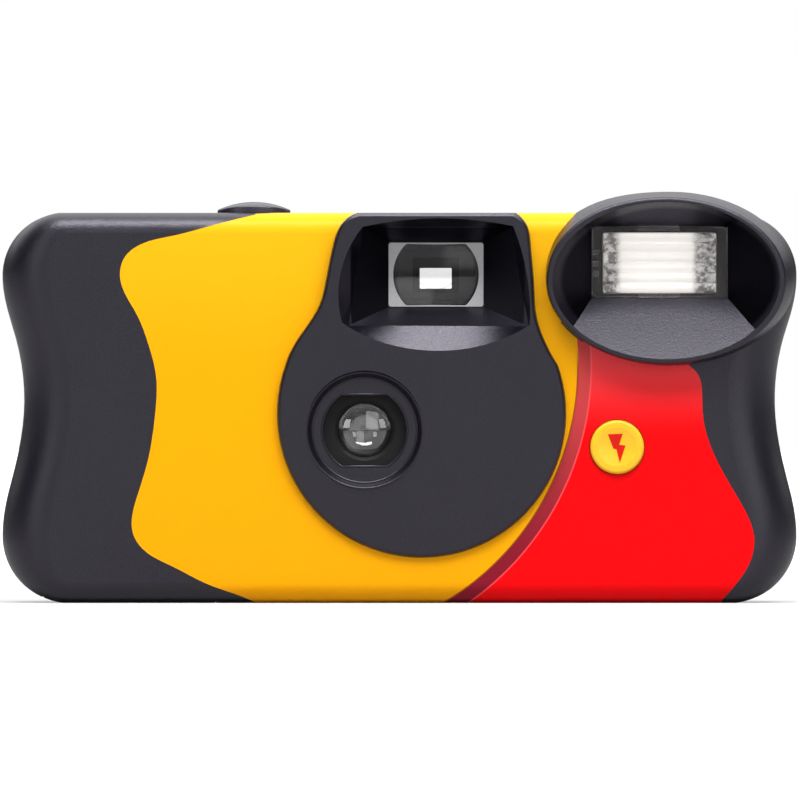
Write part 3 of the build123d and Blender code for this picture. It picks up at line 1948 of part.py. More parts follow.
    for peg in pegs:
        rod(facing(front_wall_y[1]), peg, peg_radius, front_wall_y[1] - board_plate_y[0])
    block(
        level(flash_cut_foot),
        (flash_cut_left, -body_depth),
        (body_width, 0),
        body_height,
        Mode.SUBTRACT,
    )
    for peg in board_pegs:
        rod(
            facing(board_peg_root_y),
            peg,
            board_peg_radius,
            board_peg_root_y - board_y - running_clear,
        )
save(main_frame, "main_frame")
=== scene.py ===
"""Single-use 35 mm film camera with flash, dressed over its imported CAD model."""

import math

import bmesh
import bpy
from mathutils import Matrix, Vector


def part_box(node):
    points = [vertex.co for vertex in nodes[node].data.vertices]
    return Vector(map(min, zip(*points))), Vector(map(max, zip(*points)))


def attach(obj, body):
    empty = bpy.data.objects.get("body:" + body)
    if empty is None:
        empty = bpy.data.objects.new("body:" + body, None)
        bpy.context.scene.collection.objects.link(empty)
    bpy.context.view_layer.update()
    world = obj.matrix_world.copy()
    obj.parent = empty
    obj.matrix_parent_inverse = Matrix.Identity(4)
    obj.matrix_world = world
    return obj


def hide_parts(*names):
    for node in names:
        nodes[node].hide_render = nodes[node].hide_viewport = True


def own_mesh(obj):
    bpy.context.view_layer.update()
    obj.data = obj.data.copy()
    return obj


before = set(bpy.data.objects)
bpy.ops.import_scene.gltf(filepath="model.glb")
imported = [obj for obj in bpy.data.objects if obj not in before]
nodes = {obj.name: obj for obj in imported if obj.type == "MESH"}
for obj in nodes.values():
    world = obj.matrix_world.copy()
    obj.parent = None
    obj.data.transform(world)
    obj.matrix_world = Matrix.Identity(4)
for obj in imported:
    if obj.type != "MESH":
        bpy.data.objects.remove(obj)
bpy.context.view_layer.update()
scene = bpy.context.scene
# The scene is in metres; the camera's own places and sizes are written in millimetres
MM = 0.001
BLACK = (0.0, 0.0, 0.0)
WHITE = (1.0, 1.0, 1.0)
# The photograph: millimetres for each pixel, its width, and the pixels of X 0 and of the floor
PIXEL, PHOTO_WIDTH, PHOTO_X, PHOTO_Z = 0.147077, 797, 399.5, 603.0


class Box:
    """The sides and the middle of a node's box in millimetres, as they lie seen from the front."""

    def __init__(self, name):
        low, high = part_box(name)
        self.left, self.front, self.bottom = (v / MM for v in low)
        self.right, self.back, self.top = (v / MM for v in high)
        self.x = (self.left + self.right) / 2
        self.y = (self.front + self.back) / 2
        self.z = (self.bottom + self.top) / 2
        self.face = (self.left, self.bottom, self.right, self.top)


def add(name, data):
    """An object at the origin that carries the data."""
    made = bpy.data.objects.new(name, data)
    scene.collection.objects.link(made)
    return made


def plain_mesh(carrier):
    """The mesh that an object's text or modifiers come to."""
    return bpy.data.meshes.new_from_object(carrier.evaluated_get(bpy.context.evaluated_depsgraph_get()))


# Node trees


class Value:
    """A socket that takes part in sums."""

    def __init__(self, tree, socket):
        self.tree = tree
        self.socket = socket

    def math(self, operation, *items):
        sockets = dict(enumerate((self, *items)))
        return self.tree.node("ShaderNodeMath", {"operation": operation}, sockets)

    def __add__(self, other):
        return self.math("ADD", other)

    def __sub__(self, other):
        return self.math("SUBTRACT", other)

    def __rsub__(self, other):
        return (self * -1) + other

    def __mul__(self, other):
        return self.math("MULTIPLY", other)

    def __truediv__(self, other):
        return self.math("DIVIDE", other)

    def __pow__(self, other):
        return self.math("POWER", other)

    __radd__ = __add__
    __rmul__ = __mul__

    def step(self, low, high):
        """0 below low, 1 above high, and a smooth rise between."""
        sockets = {"Value": self, "From Min": low, "From Max": high}
        return self.tree.node("ShaderNodeMapRange", {"interpolation_type": "SMOOTHSTEP"}, sockets)

    def band(self, low, high, soft):
        """1 between low and high, with soft edges."""
        return self.step(low - soft, low + soft) * (1 - self.step(high - soft, high + soft))


class Tree:
    """A tree of nodes, with one call for any node."""

    def __init__(self, group):
        self.nodes = group.nodes
        self.links = group.links

    def plug(self, item, socket):
        """Links a value to a socket, or sets the socket to a number, a colour or a name."""
        if isinstance(item, Value):
            self.links.new(item.socket, socket)
        elif isinstance(item, tuple) and len(item) == 3 and socket.type == "RGBA":
            socket.default_value = (*item, 1.0)
        else:
            socket.default_value = item

    def node(self, kind, settings=None, sockets=None, out=0):
        """Adds a node with its settings and what its sockets get, and gives one of its outputs."""
        made = self.nodes.new(kind)
        for key, item in (settings or {}).items():
            setattr(made, key, item)
        for key, item in (sockets or {}).items():
            self.plug(item, made.inputs[key])
        return Value(self, made.outputs[out])

    def axis(self, name, vector):
        return self.node("ShaderNodeSeparateXYZ", None, {"Vector": vector}, name)

    def vector(self, x, y, z):
        return self.node("ShaderNodeCombineXYZ", None, {"X": x, "Y": y, "Z": z})


class Finish(Tree):
    """A Principled material for one of the camera's finishes."""

    # Where a Mix node has its two colours and its mixed one
    COLOUR_A, COLOUR_B, COLOUR_MIXED = 6, 7, 2

    def __init__(self, name, **sockets):
        self.material = bpy.data.materials.new(name)
        self.material.use_nodes = True
        super().__init__(self.material.node_tree)
        self.shader = self.nodes["Principled BSDF"]
        self.place = self.node("ShaderNodeTexCoord", out="Object")
        for key, item in sockets.items():
            self.set(key, item)

    def set(self, key, item):
        self.plug(item, self.shader.inputs[key.replace("_", " ").title().replace("Ior", "IOR")])

    def along(self, name):
        """The place along one axis, in millimetres."""
        return self.axis(name, self.place) / MM

    def noise(self, scale, detail=3.0, rough=0.6):
        sockets = {"Vector": self.place, "Scale": scale, "Detail": detail, "Roughness": rough}
        return self.node("ShaderNodeTexNoise", None, sockets, "Fac")

    def mix(self, factor, low, high):
        sockets = {"Factor": factor, self.COLOUR_A: low, self.COLOUR_B: high}
        return self.node("ShaderNodeMix", {"data_type": "RGBA"}, sockets, self.COLOUR_MIXED)

    def mottle(self, scale, dark, light, detail=3.0):
        """Colours the surface in soft spots between two shades."""
        self.set("base_color", self.mix(self.noise(scale, detail), dark, light))

    def bump(self, height, depth):
        """Raises the surface by height, with depth in metres at height 1."""
        self.set("normal", self.node("ShaderNodeBump", None, {"Height": height, "Distance": depth}))


class Growth(Tree):
    """A tree of geometry nodes with named inputs in millimetres, which ends in one plain mesh."""

    KINDS = {int: "NodeSocketInt", float: "NodeSocketFloat"}

    def __init__(self, name, **sizes):
        self.group = bpy.data.node_groups.new(name, "GeometryNodeTree")
        super().__init__(self.group)
        self.sizes = sizes
        ports = self.group.interface
        ports.new_socket(name="Geometry", in_out="OUTPUT", socket_type="NodeSocketGeometry")
        for key, item in sizes.items():
            ports.new_socket(name=key, in_out="INPUT", socket_type=self.KINDS[type(item)])
        self.start = self.nodes.new("NodeGroupInput")

    def size(self, name):
        return Value(self, self.start.outputs[name])

    def grow(self, name, geometry, place, finish):
        """Moves the geometry to its place, in metres now, runs the tree and keeps the plain mesh."""
        move = {"Geometry": geometry, "Translation": tuple(v * MM for v in place), "Scale": (MM, MM, MM)}
        placed = self.node("GeometryNodeTransform", None, move)
        whole = self.node("GeometryNodeRealizeInstances", None, {0: placed})
        dress = {"Geometry": whole, "Material": finish.material}
        dressed = self.node("GeometryNodeSetMaterial", None, dress)
        self.plug(dressed, self.nodes.new("NodeGroupOutput").inputs[0])
        host = add(name, bpy.data.meshes.new(name))
        modifier = host.modifiers.new(name, "NODES")
        modifier.node_group = self.group
        for port in self.group.interface.items_tree:
            if port.in_out == "INPUT":
                modifier[port.identifier] = self.sizes[port.name]
        grown = plain_mesh(host)
        host.modifiers.clear()
        host.data = grown
        return host


# Finishes; the depth of a grain is in metres


def plastic(name, dark, light, rough, depth, grain=1500.0, specular=0.5, coat=0.0):
    """Moulded plastic: fine grain, a slow drift of colour, a little unevenness in its gloss."""
    made = Finish(name, specular_ior_level=specular, coat_weight=coat, coat_roughness=0.1)
    drift = made.noise(40.0, 2.0)
    fine = made.noise(grain, 4.0, 0.65)
    made.set("base_color", made.mix(drift * 0.6 + fine * 0.4, dark, light))
    made.set("roughness", (fine - 0.5) * 0.25 + rough + (drift - 0.5) * 0.1)
    made.bump(fine, depth)
    return made


def glossy(name, grain, uneven, rough=0.0, detail=3.0, **sockets):
    """Metal, glass or clear plastic whose gloss is a little uneven."""
    made = Finish(name, **sockets)
    made.set("roughness", made.noise(grain, detail) * uneven + rough)
    return made


def optic(name, colour, ior, **sockets):
    """Clear plastic of a lens or a small window."""
    return glossy(
        name, 60.0, 0.02, detail=2.0, base_color=colour, ior=ior, transmission_weight=1.0, **sockets
    )


# The casing's recesses round the flash window and the viewfinder: the mouth's middle in x and z, its
# half width and half height, and the power of its oval, which is squarer with a higher one
FLASH_RECESS = (39.6, 47.6, 16.4, 10.9, 2.0)
FINDER_RECESS = (5.6, 47.6, 12.9, 9.0, 7.0)
FINE_GRAIN = 3200.0


def recess_walls(made, x, z, half_width, half_height, power):
    """1 on the side walls and the ceiling of a recess, where the casing gets painted shade."""
    across = ((made.along("X") - x) / half_width).math("ABSOLUTE") ** power
    up = ((made.along("Z") - z) / half_height).math("ABSOLUTE") ** power
    inside = 1 - (across + up).step(0.88, 1.0)
    facing = made.node("ShaderNodeTexCoord", out="Normal")
    wall = made.axis("X", facing).math("ABSOLUTE").step(0.30, 0.65)
    ceiling = (made.axis("Z", facing) * -1).step(0.30, 0.60)
    return inside * wall.math("MAXIMUM", ceiling)


def casing_plastic():
    """The casing's glossy black, with painted shade on the side walls and ceilings of its recesses, which
    are made nearly metallic there so that they look nearly black.
    """
    made = plastic(
        "casing_black",
        (0.0030, 0.0024, 0.0050),
        (0.0062, 0.0054, 0.0098),
        rough=0.34,
        depth=0.000045,
        grain=FINE_GRAIN,
        specular=0.75,
    )
    made.set("specular_tint", (0.90, 0.86, 1.0))
    # Painted shade: the recess walls turn nearly metallic on a near-black colour, which darkens them as
    # shade would
    painted_recess_shade = recess_walls(made, *FLASH_RECESS).math("MAXIMUM", recess_walls(made, *FINDER_RECESS))
    made.set("metallic", painted_recess_shade * 0.9)
    return made


casing_black = casing_plastic()
button_grey = plastic(
    "button_grey", (0.016, 0.013, 0.026), (0.026, 0.022, 0.040), 0.30, 0.00002, FINE_GRAIN, specular=0.75
)
inner_black = plastic(
    "inner_black", (0.004, 0.004, 0.0045), (0.008, 0.008, 0.0085), 0.6, 0.00003, specular=0.3
)
tube_black = plastic(
    "tube_black", (0.003, 0.002, 0.002), (0.005, 0.004, 0.004), 0.14, 0.00001, specular=0.9
)
wheel_black = plastic("wheel_black", (0.008, 0.008, 0.009), (0.014, 0.014, 0.015), 0.40, 0.00003)
white_plastic = plastic("white_plastic", (0.70, 0.69, 0.66), (0.80, 0.79, 0.76), 0.4, 0.00003)

# The round edge between the yellow and the red print, and the dark red stripe along it
STRIPE_X, STRIPE_Z, STRIPE_RADIUS, STRIPE_WIDTH = -14.2, 34.75, 40.5, 1.8


def printed(name):
    """Printed paper under a thin matt film, a touch uneven where it was laid on."""
    made = Finish(name, specular_ior_level=0.11)
    lay = made.noise(110.0, 2.0, 0.5)
    tooth = made.noise(2600.0, 3.0, 0.6)
    made.set("roughness", (tooth - 0.5) * 0.14 + 0.30)
    made.bump(lay * 0.8 + tooth * 0.2, 0.00004)
    return made


def past_stripe(made):
    """Distance past the round edge between the yellow and the red, in millimetres."""
    x = made.along("X") - STRIPE_X
    z = made.along("Z") - STRIPE_Z
    return (x * x + z * z) ** 0.5 - STRIPE_RADIUS


def yellow_print():
    """The wrap: a warm yellow with a brown edge beside the stripe's lower part; painted light pales it
    upwards and painted shade darkens it a little at the bottom.
    """
    made = printed("wrap_print")
    height = made.along("Z")
    # Painted light and shade: slightly darker at the bottom and paler towards the top, as the light falls
    yellow = made.mix(height.step(-4.0, 10.0), (0.97, 0.40, 0.0003), (0.96, 0.42, 0.0003))
    yellow = made.mix(height.step(30.0, 62.0), yellow, (0.98, 0.50, 0.008))
    in_front = 1 - made.along("Y").step(-2.0, 2.0)
    edge = past_stripe(made).step(-0.3, -0.1) * (1 - height.step(34.0, 38.0)) * in_front
    made.set("base_color", made.mix(edge, yellow, (0.30, 0.06, 0.005)))
    return made


def red_and_stripe():
    """The front label: red, and a dark red stripe with a light line beside it; painted light pales both the
    red and the stripe upwards.
    """
    made = printed("red_print")
    height = made.along("Z")
    past = past_stripe(made)
    # Painted light: the red and the stripe pale upwards, as the light falls
    red = made.mix(height.step(24.0, 44.0), (0.92, 0.0006, 0.0030), (1.0, 0.10, 0.115))
    maroon = made.mix(height.step(4.0, 40.0), (0.26, 0.010, 0.026), (0.66, 0.066, 0.066))
    colour = made.mix(past.step(STRIPE_WIDTH - 0.07, STRIPE_WIDTH + 0.07), maroon, red)
    light_line = past.band(STRIPE_WIDTH - 0.02, STRIPE_WIDTH + 0.18, 0.06)
    made.set("base_color", made.mix(light_line * 0.35, colour, (1.0, 0.22, 0.24)))
    return made


wrap_print = yellow_print()
red_print = red_and_stripe()
dial_ink = plastic("dial_ink", (0.010, 0.010, 0.012), (0.018, 0.018, 0.020), 0.5, 0.00001)
flash_yellow = plastic(
    "flash_yellow", (0.98, 0.52, 0.020), (1.0, 0.58, 0.030), 0.26, 0.00001, specular=0.3
)
bolt_red = plastic("bolt_red", (0.66, 0.008, 0.002), (0.72, 0.012, 0.004), 0.35, 0.00001, specular=0.2)

clear_optic = optic("clear_optic", (0.97, 0.98, 0.985), 1.49)
lens_glass = optic(
    "lens_glass",
    (0.96, 0.97, 0.98),
    1.53,
    specular_ior_level=1.0,
    coat_weight=1.0,
    coat_ior=1.9,
    coat_roughness=0.02,
)
finder_optic = optic("finder_optic", (0.97, 0.97, 0.975), 1.40, specular_ior_level=0.04)
finder_frost = plastic("finder_frost", (0.30, 0.30, 0.31), (0.62, 0.62, 0.63), 0.5, 0.00006, 2400.0)
flash_clear = glossy(
    "flash_clear",
    grain=900.0,
    uneven=0.06,
    rough=0.03,
    detail=2.0,
    base_color=(0.96, 0.93, 0.93),
    ior=1.49,
    transmission_weight=0.975,
)

# Where the flash window's ribs get a painted glow, between their broken ends, how soft that stretch's ends
# are, and the painted glow's streaks in radians for each millimetre of height
PAINTED_GLOW_LEFT, PAINTED_GLOW_RIGHT, PAINTED_GLOW_SOFT, PAINTED_GLOW_STREAKS = 32.2, 43.5, 0.7, 4.2


def ribbed_window():
    """Painted light: the ribs glow in streaks over the reflector, in place of the reflector's light seen
    through them, and show broken marks at both ends that glow a little.
    """
    made = glossy("flash_ribbed", 900.0, 0.06, 0.08, detail=2.0, ior=1.49, transmission_weight=0.6)
    painted_glow_stretch = made.along("X").band(PAINTED_GLOW_LEFT, PAINTED_GLOW_RIGHT, PAINTED_GLOW_SOFT)
    streaks = (made.along("Z") * PAINTED_GLOW_STREAKS).math("SINE") * 0.5 + 0.5
    broken = made.noise(900.0, 3.0, 0.7).step(0.42, 0.62)
    # Painted light: an emission that stands in for the reflector's light seen through the ribs
    painted_end_glow = made.mix(broken, BLACK, (0.10, 0.095, 0.09))
    glow = made.mix(streaks, (0.17, 0.155, 0.14), (0.25, 0.235, 0.22))
    made.set("emission_color", made.mix(painted_glow_stretch, painted_end_glow, glow))
    made.set("emission_strength", 1.0)
    end_tint = made.mix(broken, (0.34, 0.325, 0.32), WHITE)
    made.set("base_color", made.mix(painted_glow_stretch, end_tint, WHITE))
    return made


flash_ribbed = ribbed_window()
tube_glass = glossy(
    "tube_glass", grain=80.0, uneven=0.03, base_color=(0.96, 0.97, 0.98), ior=1.46, transmission_weight=1.0
)
lamp_glass = glossy(
    "lamp_glass", grain=80.0, uneven=0.05, base_color=(0.95, 0.62, 0.45), ior=1.46, transmission_weight=0.9
)

reflector_bright = glossy("reflector_bright", 500.0, 0.1, 0.18, base_color=(0.95, 0.95, 0.95), metallic=1.0)
spring_steel = glossy("spring_steel", 900.0, 0.2, 0.25, base_color=(0.55, 0.55, 0.57), metallic=1.0)
contact_strip = glossy("contact_strip", 700.0, 0.2, 0.25, base_color=(0.75, 0.62, 0.35), metallic=1.0)
coil_copper = glossy("coil_copper", 600.0, 0.2, 0.3, base_color=(0.55, 0.22, 0.07), metallic=0.8)
# The coil's windings, in radians for each millimetre along it, and their depth
WINDINGS, WINDING_DEPTH = 21.0, 0.00006
coil_copper.bump((coil_copper.along("X") * WINDINGS).math("SINE"), WINDING_DEPTH)
cassette_metal = glossy("cassette_metal", 800.0, 0.2, 0.25, metallic=0.9)
cassette_metal.mottle(200.0, (0.52, 0.52, 0.50), (0.62, 0.62, 0.60))
battery_can = glossy("battery_can", 400.0, 0.15, 0.25, metallic=0.6)
# Between these heights the battery's dark sleeve gives way to its copper-coloured end
SLEEVE_END = (46.9, 47.1)
past_sleeve = battery_can.along("Z").step(*SLEEVE_END)
battery_can.set("base_color", battery_can.mix(past_sleeve, (0.05, 0.05, 0.055), (0.55, 0.40, 0.16)))

felt_black = Finish("felt_black", roughness=1.0, sheen_weight=0.4)
felt_black.mottle(4000.0, (0.006, 0.006, 0.007), (0.022, 0.022, 0.024))
felt_black.bump(felt_black.noise(5000.0), 0.00012)
film_base = Finish("film_base", roughness=0.18, coat_weight=0.3)
film_base.mottle(90.0, (0.10, 0.045, 0.032), (0.13, 0.058, 0.040))
board_laminate = Finish("board_laminate", roughness=0.5)
board_laminate.mottle(700.0, (0.24, 0.12, 0.035), (0.33, 0.18, 0.06), detail=5.0)
component_black = plastic("component_black", (0.012, 0.012, 0.013), (0.02, 0.02, 0.022), 0.4, 0.00002)
dipped_orange = plastic("dipped_orange", (0.42, 0.07, 0.015), (0.5, 0.10, 0.02), 0.25, 0.00002)
resistor_beige = plastic("resistor_beige", (0.45, 0.33, 0.18), (0.52, 0.40, 0.24), 0.35, 0.00002)
transformer_dark = plastic("transformer_dark", (0.03, 0.028, 0.026), (0.05, 0.046, 0.042), 0.55, 0.00003)
capacitor_sleeve = plastic(
    "capacitor_sleeve", (0.012, 0.014, 0.03), (0.02, 0.022, 0.045), 0.3, 0.00002, coat=0.3
)

dressed = {
    "front_cover": casing_black,
    "back_cover": casing_black,
    "film_door": casing_black,
    "battery_door": casing_black,
    "wrap_label": wrap_print,
    "red_label": red_print,
    "shutter_button": button_grey,
    "viewfinder_front_lens": finder_optic,
    "viewfinder_rear_lens": finder_optic,
    "counter_window": clear_optic,
    "ready_light_pipe": clear_optic,
    "lens_retainer": inner_black,
    "lens_board": inner_black,
    "main_frame": tube_black,
    "thumbwheel": wheel_black,
    "sprocket_wheel": white_plastic,
    "counter_dial": white_plastic,
    "release_lever": white_plastic,
    "drive_lever": white_plastic,
    "wheel_pawl": inner_black,
    "shutter_blade": inner_black,
    "drive_spring": spring_steel,
    "shutter_return_spring": spring_steel,
    "sync_contacts": contact_strip,
    "battery_contact_upper": contact_strip,
    "battery_contact_lower": contact_strip,
    "flash_switch_contact": contact_strip,
    "cassette_shell": cassette_metal,
    "cassette_lower_cap": inner_black,
    "cassette_upper_cap": inner_black,
    "light_trap_inner": felt_black,
    "light_trap_outer": felt_black,
    "cassette_spool": inner_black,
    "supply_spool": inner_black,
    "film_strip": film_base,
    "film_roll": film_base,
    "circuit_board": board_laminate,
    "transistor": component_black,
    "trigger_capacitor": dipped_orange,
    "charge_resistor": resistor_beige,
    "lamp_resistor": resistor_beige,
    "rectifier_diode": component_black,
    "transformer": transformer_dark,
    "main_capacitor": capacitor_sleeve,
    "trigger_coil": coil_copper,
    "flash_tube": tube_glass,
    "flash_reflector": reflector_bright,
    "ready_lamp": lamp_glass,
    "battery": battery_can,
    "flash_button": flash_yellow,
}
for name, finish in dressed.items():
    slots = nodes[name].material_slots
    if not len(slots):
        nodes[name].data.materials.append(finish.material)
    for entry in slots:
        entry.material = finish.material


# Pieces over the solids

CORNER_STEPS = 6
SHARP_DEGREES = 35


def rounded(face, y, inset, radius):
    """Points round a face (left, bottom, right, top) less an inset, with round corners."""
    left, bottom = face[0] + inset + radius, face[1] + inset + radius
    right, top = face[2] - inset - radius, face[3] - inset - radius
    centres = ((right, top), (left, top), (left, bottom), (right, bottom))
    points = []
    for quarter, (centre_x, centre_z) in enumerate(centres):
        for n in range(CORNER_STEPS + 1):
            a = math.tau / 4 * (quarter + n / CORNER_STEPS)
            points.append((centre_x + radius * math.cos(a), y, centre_z + radius * math.sin(a)))
    return points


def soften(mesh, degrees):
    """Smooth shading, except over edges that turn by more than so many degrees."""
    mesh.shade_smooth()
    mesh.set_sharp_from_angle(angle=math.radians(degrees))


def solid(name, shape, finish):
    """A piece from a closed shape, with its faces turned outwards."""
    bmesh.ops.recalc_face_normals(shape, faces=shape.faces)
    mesh = bpy.data.meshes.new(name)
    shape.to_mesh(mesh)
    shape.free()
    mesh.materials.append(finish.material)
    return add(name, mesh)


def skin(name, loops, finish, closed=False, smooth=True):
    """One solid through loops of points in millimetres, capped at its ends unless they join."""
    shape = bmesh.new()
    rows = [[shape.verts.new(Vector(point) * MM) for point in loop] for loop in loops]
    pairs = list(zip(rows, rows[1:])) + ([(rows[-1], rows[0])] if closed else [])
    for row, following in pairs:
        for n in range(len(row)):
            m = (n + 1) % len(row)
            shape.faces.new((row[n], row[m], following[m], following[n]))
    if not closed:
        shape.faces.new(rows[0])
        shape.faces.new(rows[-1])
    piece = solid(name, shape, finish)
    if smooth:
        soften(piece.data, SHARP_DEGREES)
    return piece


def fit(piece, body, slot, *replaced):
    """Fits a piece to its body, in place of the solids that it replaces."""
    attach(piece, body)
    if replaced:
        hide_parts(*replaced)


# Flash window: a clear plate round a raised field of ribs, a dark holder behind it, two tabs, three feet

# Faces are left, bottom, right and top
window = Box("flash_window")
PLATE_FRONT = window.front + 0.15
PLATE_CORNER, PLATE_BEVEL = 0.8, 0.2
FIELD = (30.0, 45.65, 46.6, 54.45)
FIELD_CORNER, FIELD_GAP, FIELD_THICKNESS = 0.5, 0.06, 1.3
RIBS, RIB_DEPTH, RIB_FADE, RIB_SHARP_DEGREES = 6, 0.55, 1.2, 40
RIB_COLUMNS, RIB_ROWS = 84, 97
HOLDER_BACK, HOLDER_FRONT = -7.44, window.back + 0.04
HOLDER_PLAY, HOLDER_CORNER, HOLDER_GAP = 0.03, 0.2, 0.1
# A stud starts this far before the plate's face, and its tip is bevelled
STUD_START, STUD_BEVEL, STUD_TIP_CORNER = 0.01, 0.1, 0.08
TAB_LEFT, TAB_RIGHT, TAB_OUTWARDS, TAB_INWARDS = 35.2, 41.2, 0.02, 0.62
TAB_PROUD, TAB_CORNER = 0.5, 0.12
FOOT_LEFT, FOOT_RIGHT, FOOT_HALF_HEIGHT = 28.45, 29.35, 0.38
FOOT_PROUD, FOOT_CORNER = 0.35, 0.1
FOOT_HEIGHTS = (51.56, 49.95, 48.4)


def window_plate():
    """The clear plate, open in its middle."""
    piece = skin(
        "flash_window_plate",
        [
            rounded(window.face, window.back, 0.0, PLATE_CORNER),
            rounded(window.face, PLATE_FRONT + PLATE_BEVEL, 0.0, PLATE_CORNER),
            rounded(window.face, PLATE_FRONT, PLATE_BEVEL, PLATE_CORNER - PLATE_BEVEL),
            rounded(FIELD, PLATE_FRONT, -FIELD_GAP, FIELD_CORNER),
            rounded(FIELD, window.back, -FIELD_GAP, FIELD_CORNER),
        ],
        flash_clear,
        closed=True,
    )
    fit(piece, "casing", "clear_optic", "flash_window")


def window_ribs():
    """The field: a block whose front is drawn out into round ribs that fade at both ends."""
    left, bottom, right, top = FIELD
    ribs = Growth(
        "flash_ribs",
        Width=right - left,
        Height=top - bottom,
        Thickness=FIELD_THICKNESS,
        Ribs=RIBS,
        Depth=RIB_DEPTH,
        Fade=RIB_FADE,
    )
    block = ribs.node(
        "GeometryNodeMeshCube",
        None,
        {
            "Size": ribs.vector(ribs.size("Width"), ribs.size("Thickness"), ribs.size("Height")),
            "Vertices X": RIB_COLUMNS,
            "Vertices Y": 2,
            "Vertices Z": RIB_ROWS,
        },
    )
    spot = ribs.node("GeometryNodeInputPosition")
    across = ribs.axis("X", spot)
    up = ribs.axis("Z", spot)
    pitch = ribs.size("Height") / ribs.size("Ribs")
    phase = (up / pitch + 0.5 * ribs.size("Ribs")).math("FRACT") * 2 - 1
    lobe = (1 - phase * phase).math("MAXIMUM", 0.0).math("SQRT")
    reach = ribs.size("Width") * 0.5 - across.math("ABSOLUTE")
    near_end = 1 - (reach / ribs.size("Fade")).math("MINIMUM", 1.0)
    round_end = (1 - near_end * near_end).math("MAXIMUM", 0.0).math("SQRT")
    lift = ribs.vector(0.0, lobe * round_end * ribs.size("Depth") * -1, 0.0)
    front = ribs.node("FunctionNodeCompare", {"operation": "LESS_THAN"}, {0: ribs.axis("Y", spot), 1: 0.0})
    drawn_out = {"Geometry": block, "Selection": front, "Offset": lift}
    field = ribs.node("GeometryNodeSetPosition", None, drawn_out)
    place = ((left + right) / 2, window.back - FIELD_THICKNESS / 2, (bottom + top) / 2)
    piece = ribs.grow("flash_window_ribs", field, place, flash_ribbed)
    soften(piece.data, RIB_SHARP_DEGREES)
    fit(piece, "casing", "clear_optic")


def reflector_holder():
    """The dark holder round the reflector's mouth, seen through the clear edge of the plate."""
    piece = skin(
        "flash_reflector_holder",
        [
            rounded(window.face, HOLDER_BACK, HOLDER_PLAY, HOLDER_CORNER),
            rounded(window.face, HOLDER_FRONT, HOLDER_PLAY, HOLDER_CORNER),
            rounded(FIELD, HOLDER_FRONT, -HOLDER_GAP, FIELD_CORNER),
            rounded(FIELD, HOLDER_BACK, -HOLDER_GAP, FIELD_CORNER),
        ],
        inner_black,
        closed=True,
    )
    fit(piece, "casing", "inner_plastic")


def stud(name, face, proud, corner):
    """A clear stud that stands proud of the plate."""
    tip = PLATE_FRONT - proud
    piece = skin(
        name,
        [
            rounded(face, PLATE_FRONT - STUD_START, 0.0, corner),
            rounded(face, tip + STUD_BEVEL, 0.0, corner),
            rounded(face, tip, STUD_BEVEL, STUD_TIP_CORNER),
        ],
        flash_clear,
    )
    fit(piece, "casing", "clear_optic")


def window_studs():
    """Tabs that hold the window, over its upper and lower edge, and small feet at its left end."""
    for name, edge, inward in (
        ("flash_window_tab_top", window.top, -1),
        ("flash_window_tab_bottom", window.bottom, 1),
    ):
        bottom, top = sorted((edge - inward * TAB_OUTWARDS, edge + inward * TAB_INWARDS))
        stud(name, (TAB_LEFT, bottom, TAB_RIGHT, top), TAB_PROUD, TAB_CORNER)
    for n, z in enumerate(FOOT_HEIGHTS):
        face = (FOOT_LEFT, z - FOOT_HALF_HEIGHT, FOOT_RIGHT, z + FOOT_HALF_HEIGHT)
        stud(f"flash_window_foot_{n + 1}", face, FOOT_PROUD, FOOT_CORNER)


# Viewfinder: frosted corners before its front lens, and the field mask before the eyepiece

finder = Box("viewfinder_front_lens")
eyepiece = Box("viewfinder_rear_lens")
FINDER_X, FINDER_Z, FINDER_RADIUS = 5.37, 48.31, 6.3
FROST_BACK, FROST_FRONT = finder.front - 0.02, finder.front - 0.14
FROST_STEPS, FROST_PLAY, FROST_LEAST = 144, 0.03, 0.25
MASK_BACK, MASK_FRONT = eyepiece.front - 0.1, eyepiece.front - 0.7
MASK_PLAY, MASK_CORNER = 0.1, 0.3
OPENING, OPENING_CORNER = (2.1, 45.6, 8.6, 49.8), 0.2


def finder_ring(y, play, reach=math.inf):
    """The window's outline less some play, or the round edge of its lens where that is nearer."""
    points = []
    for n in range(FROST_STEPS):
        a = math.tau * n / FROST_STEPS
        across, up = math.cos(a), math.sin(a)
        side = (finder.right if across > 0 else finder.left) - FINDER_X
        rise = (finder.top if up > 0 else finder.bottom) - FINDER_Z
        edge = min(side / across if across else math.inf, rise / up if up else math.inf)
        far = min(edge - play, reach)
        points.append((FINDER_X + far * across, y, FINDER_Z + far * up))
    return points


def frosted_corners():
    """A thin frosted frame between the window's edge and its round lens."""
    piece = skin(
        "viewfinder_frosted_corners",
        [
            finder_ring(FROST_BACK, FROST_PLAY),
            finder_ring(FROST_FRONT, FROST_PLAY),
            finder_ring(FROST_FRONT, FROST_LEAST, FINDER_RADIUS),
            finder_ring(FROST_BACK, FROST_LEAST, FINDER_RADIUS),
        ],
        finder_frost,
        closed=True,
    )
    fit(piece, "casing", "clear_optic")


def field_mask():
    """The dark frame that bounds the view through the eyepiece."""
    piece = skin(
        "viewfinder_field_mask",
        [
            rounded(eyepiece.face, MASK_BACK, MASK_PLAY, MASK_CORNER),
            rounded(eyepiece.face, MASK_FRONT, MASK_PLAY, MASK_CORNER),
            rounded(OPENING, MASK_FRONT, 0.0, OPENING_CORNER),
            rounded(OPENING, MASK_BACK, 0.0, OPENING_CORNER),
        ],
        inner_black,
        closed=True,
    )
    fit(piece, "casing", "inner_plastic")


# Taking lens, bulged on both sides, and softened edges round its recess and its flatted hole

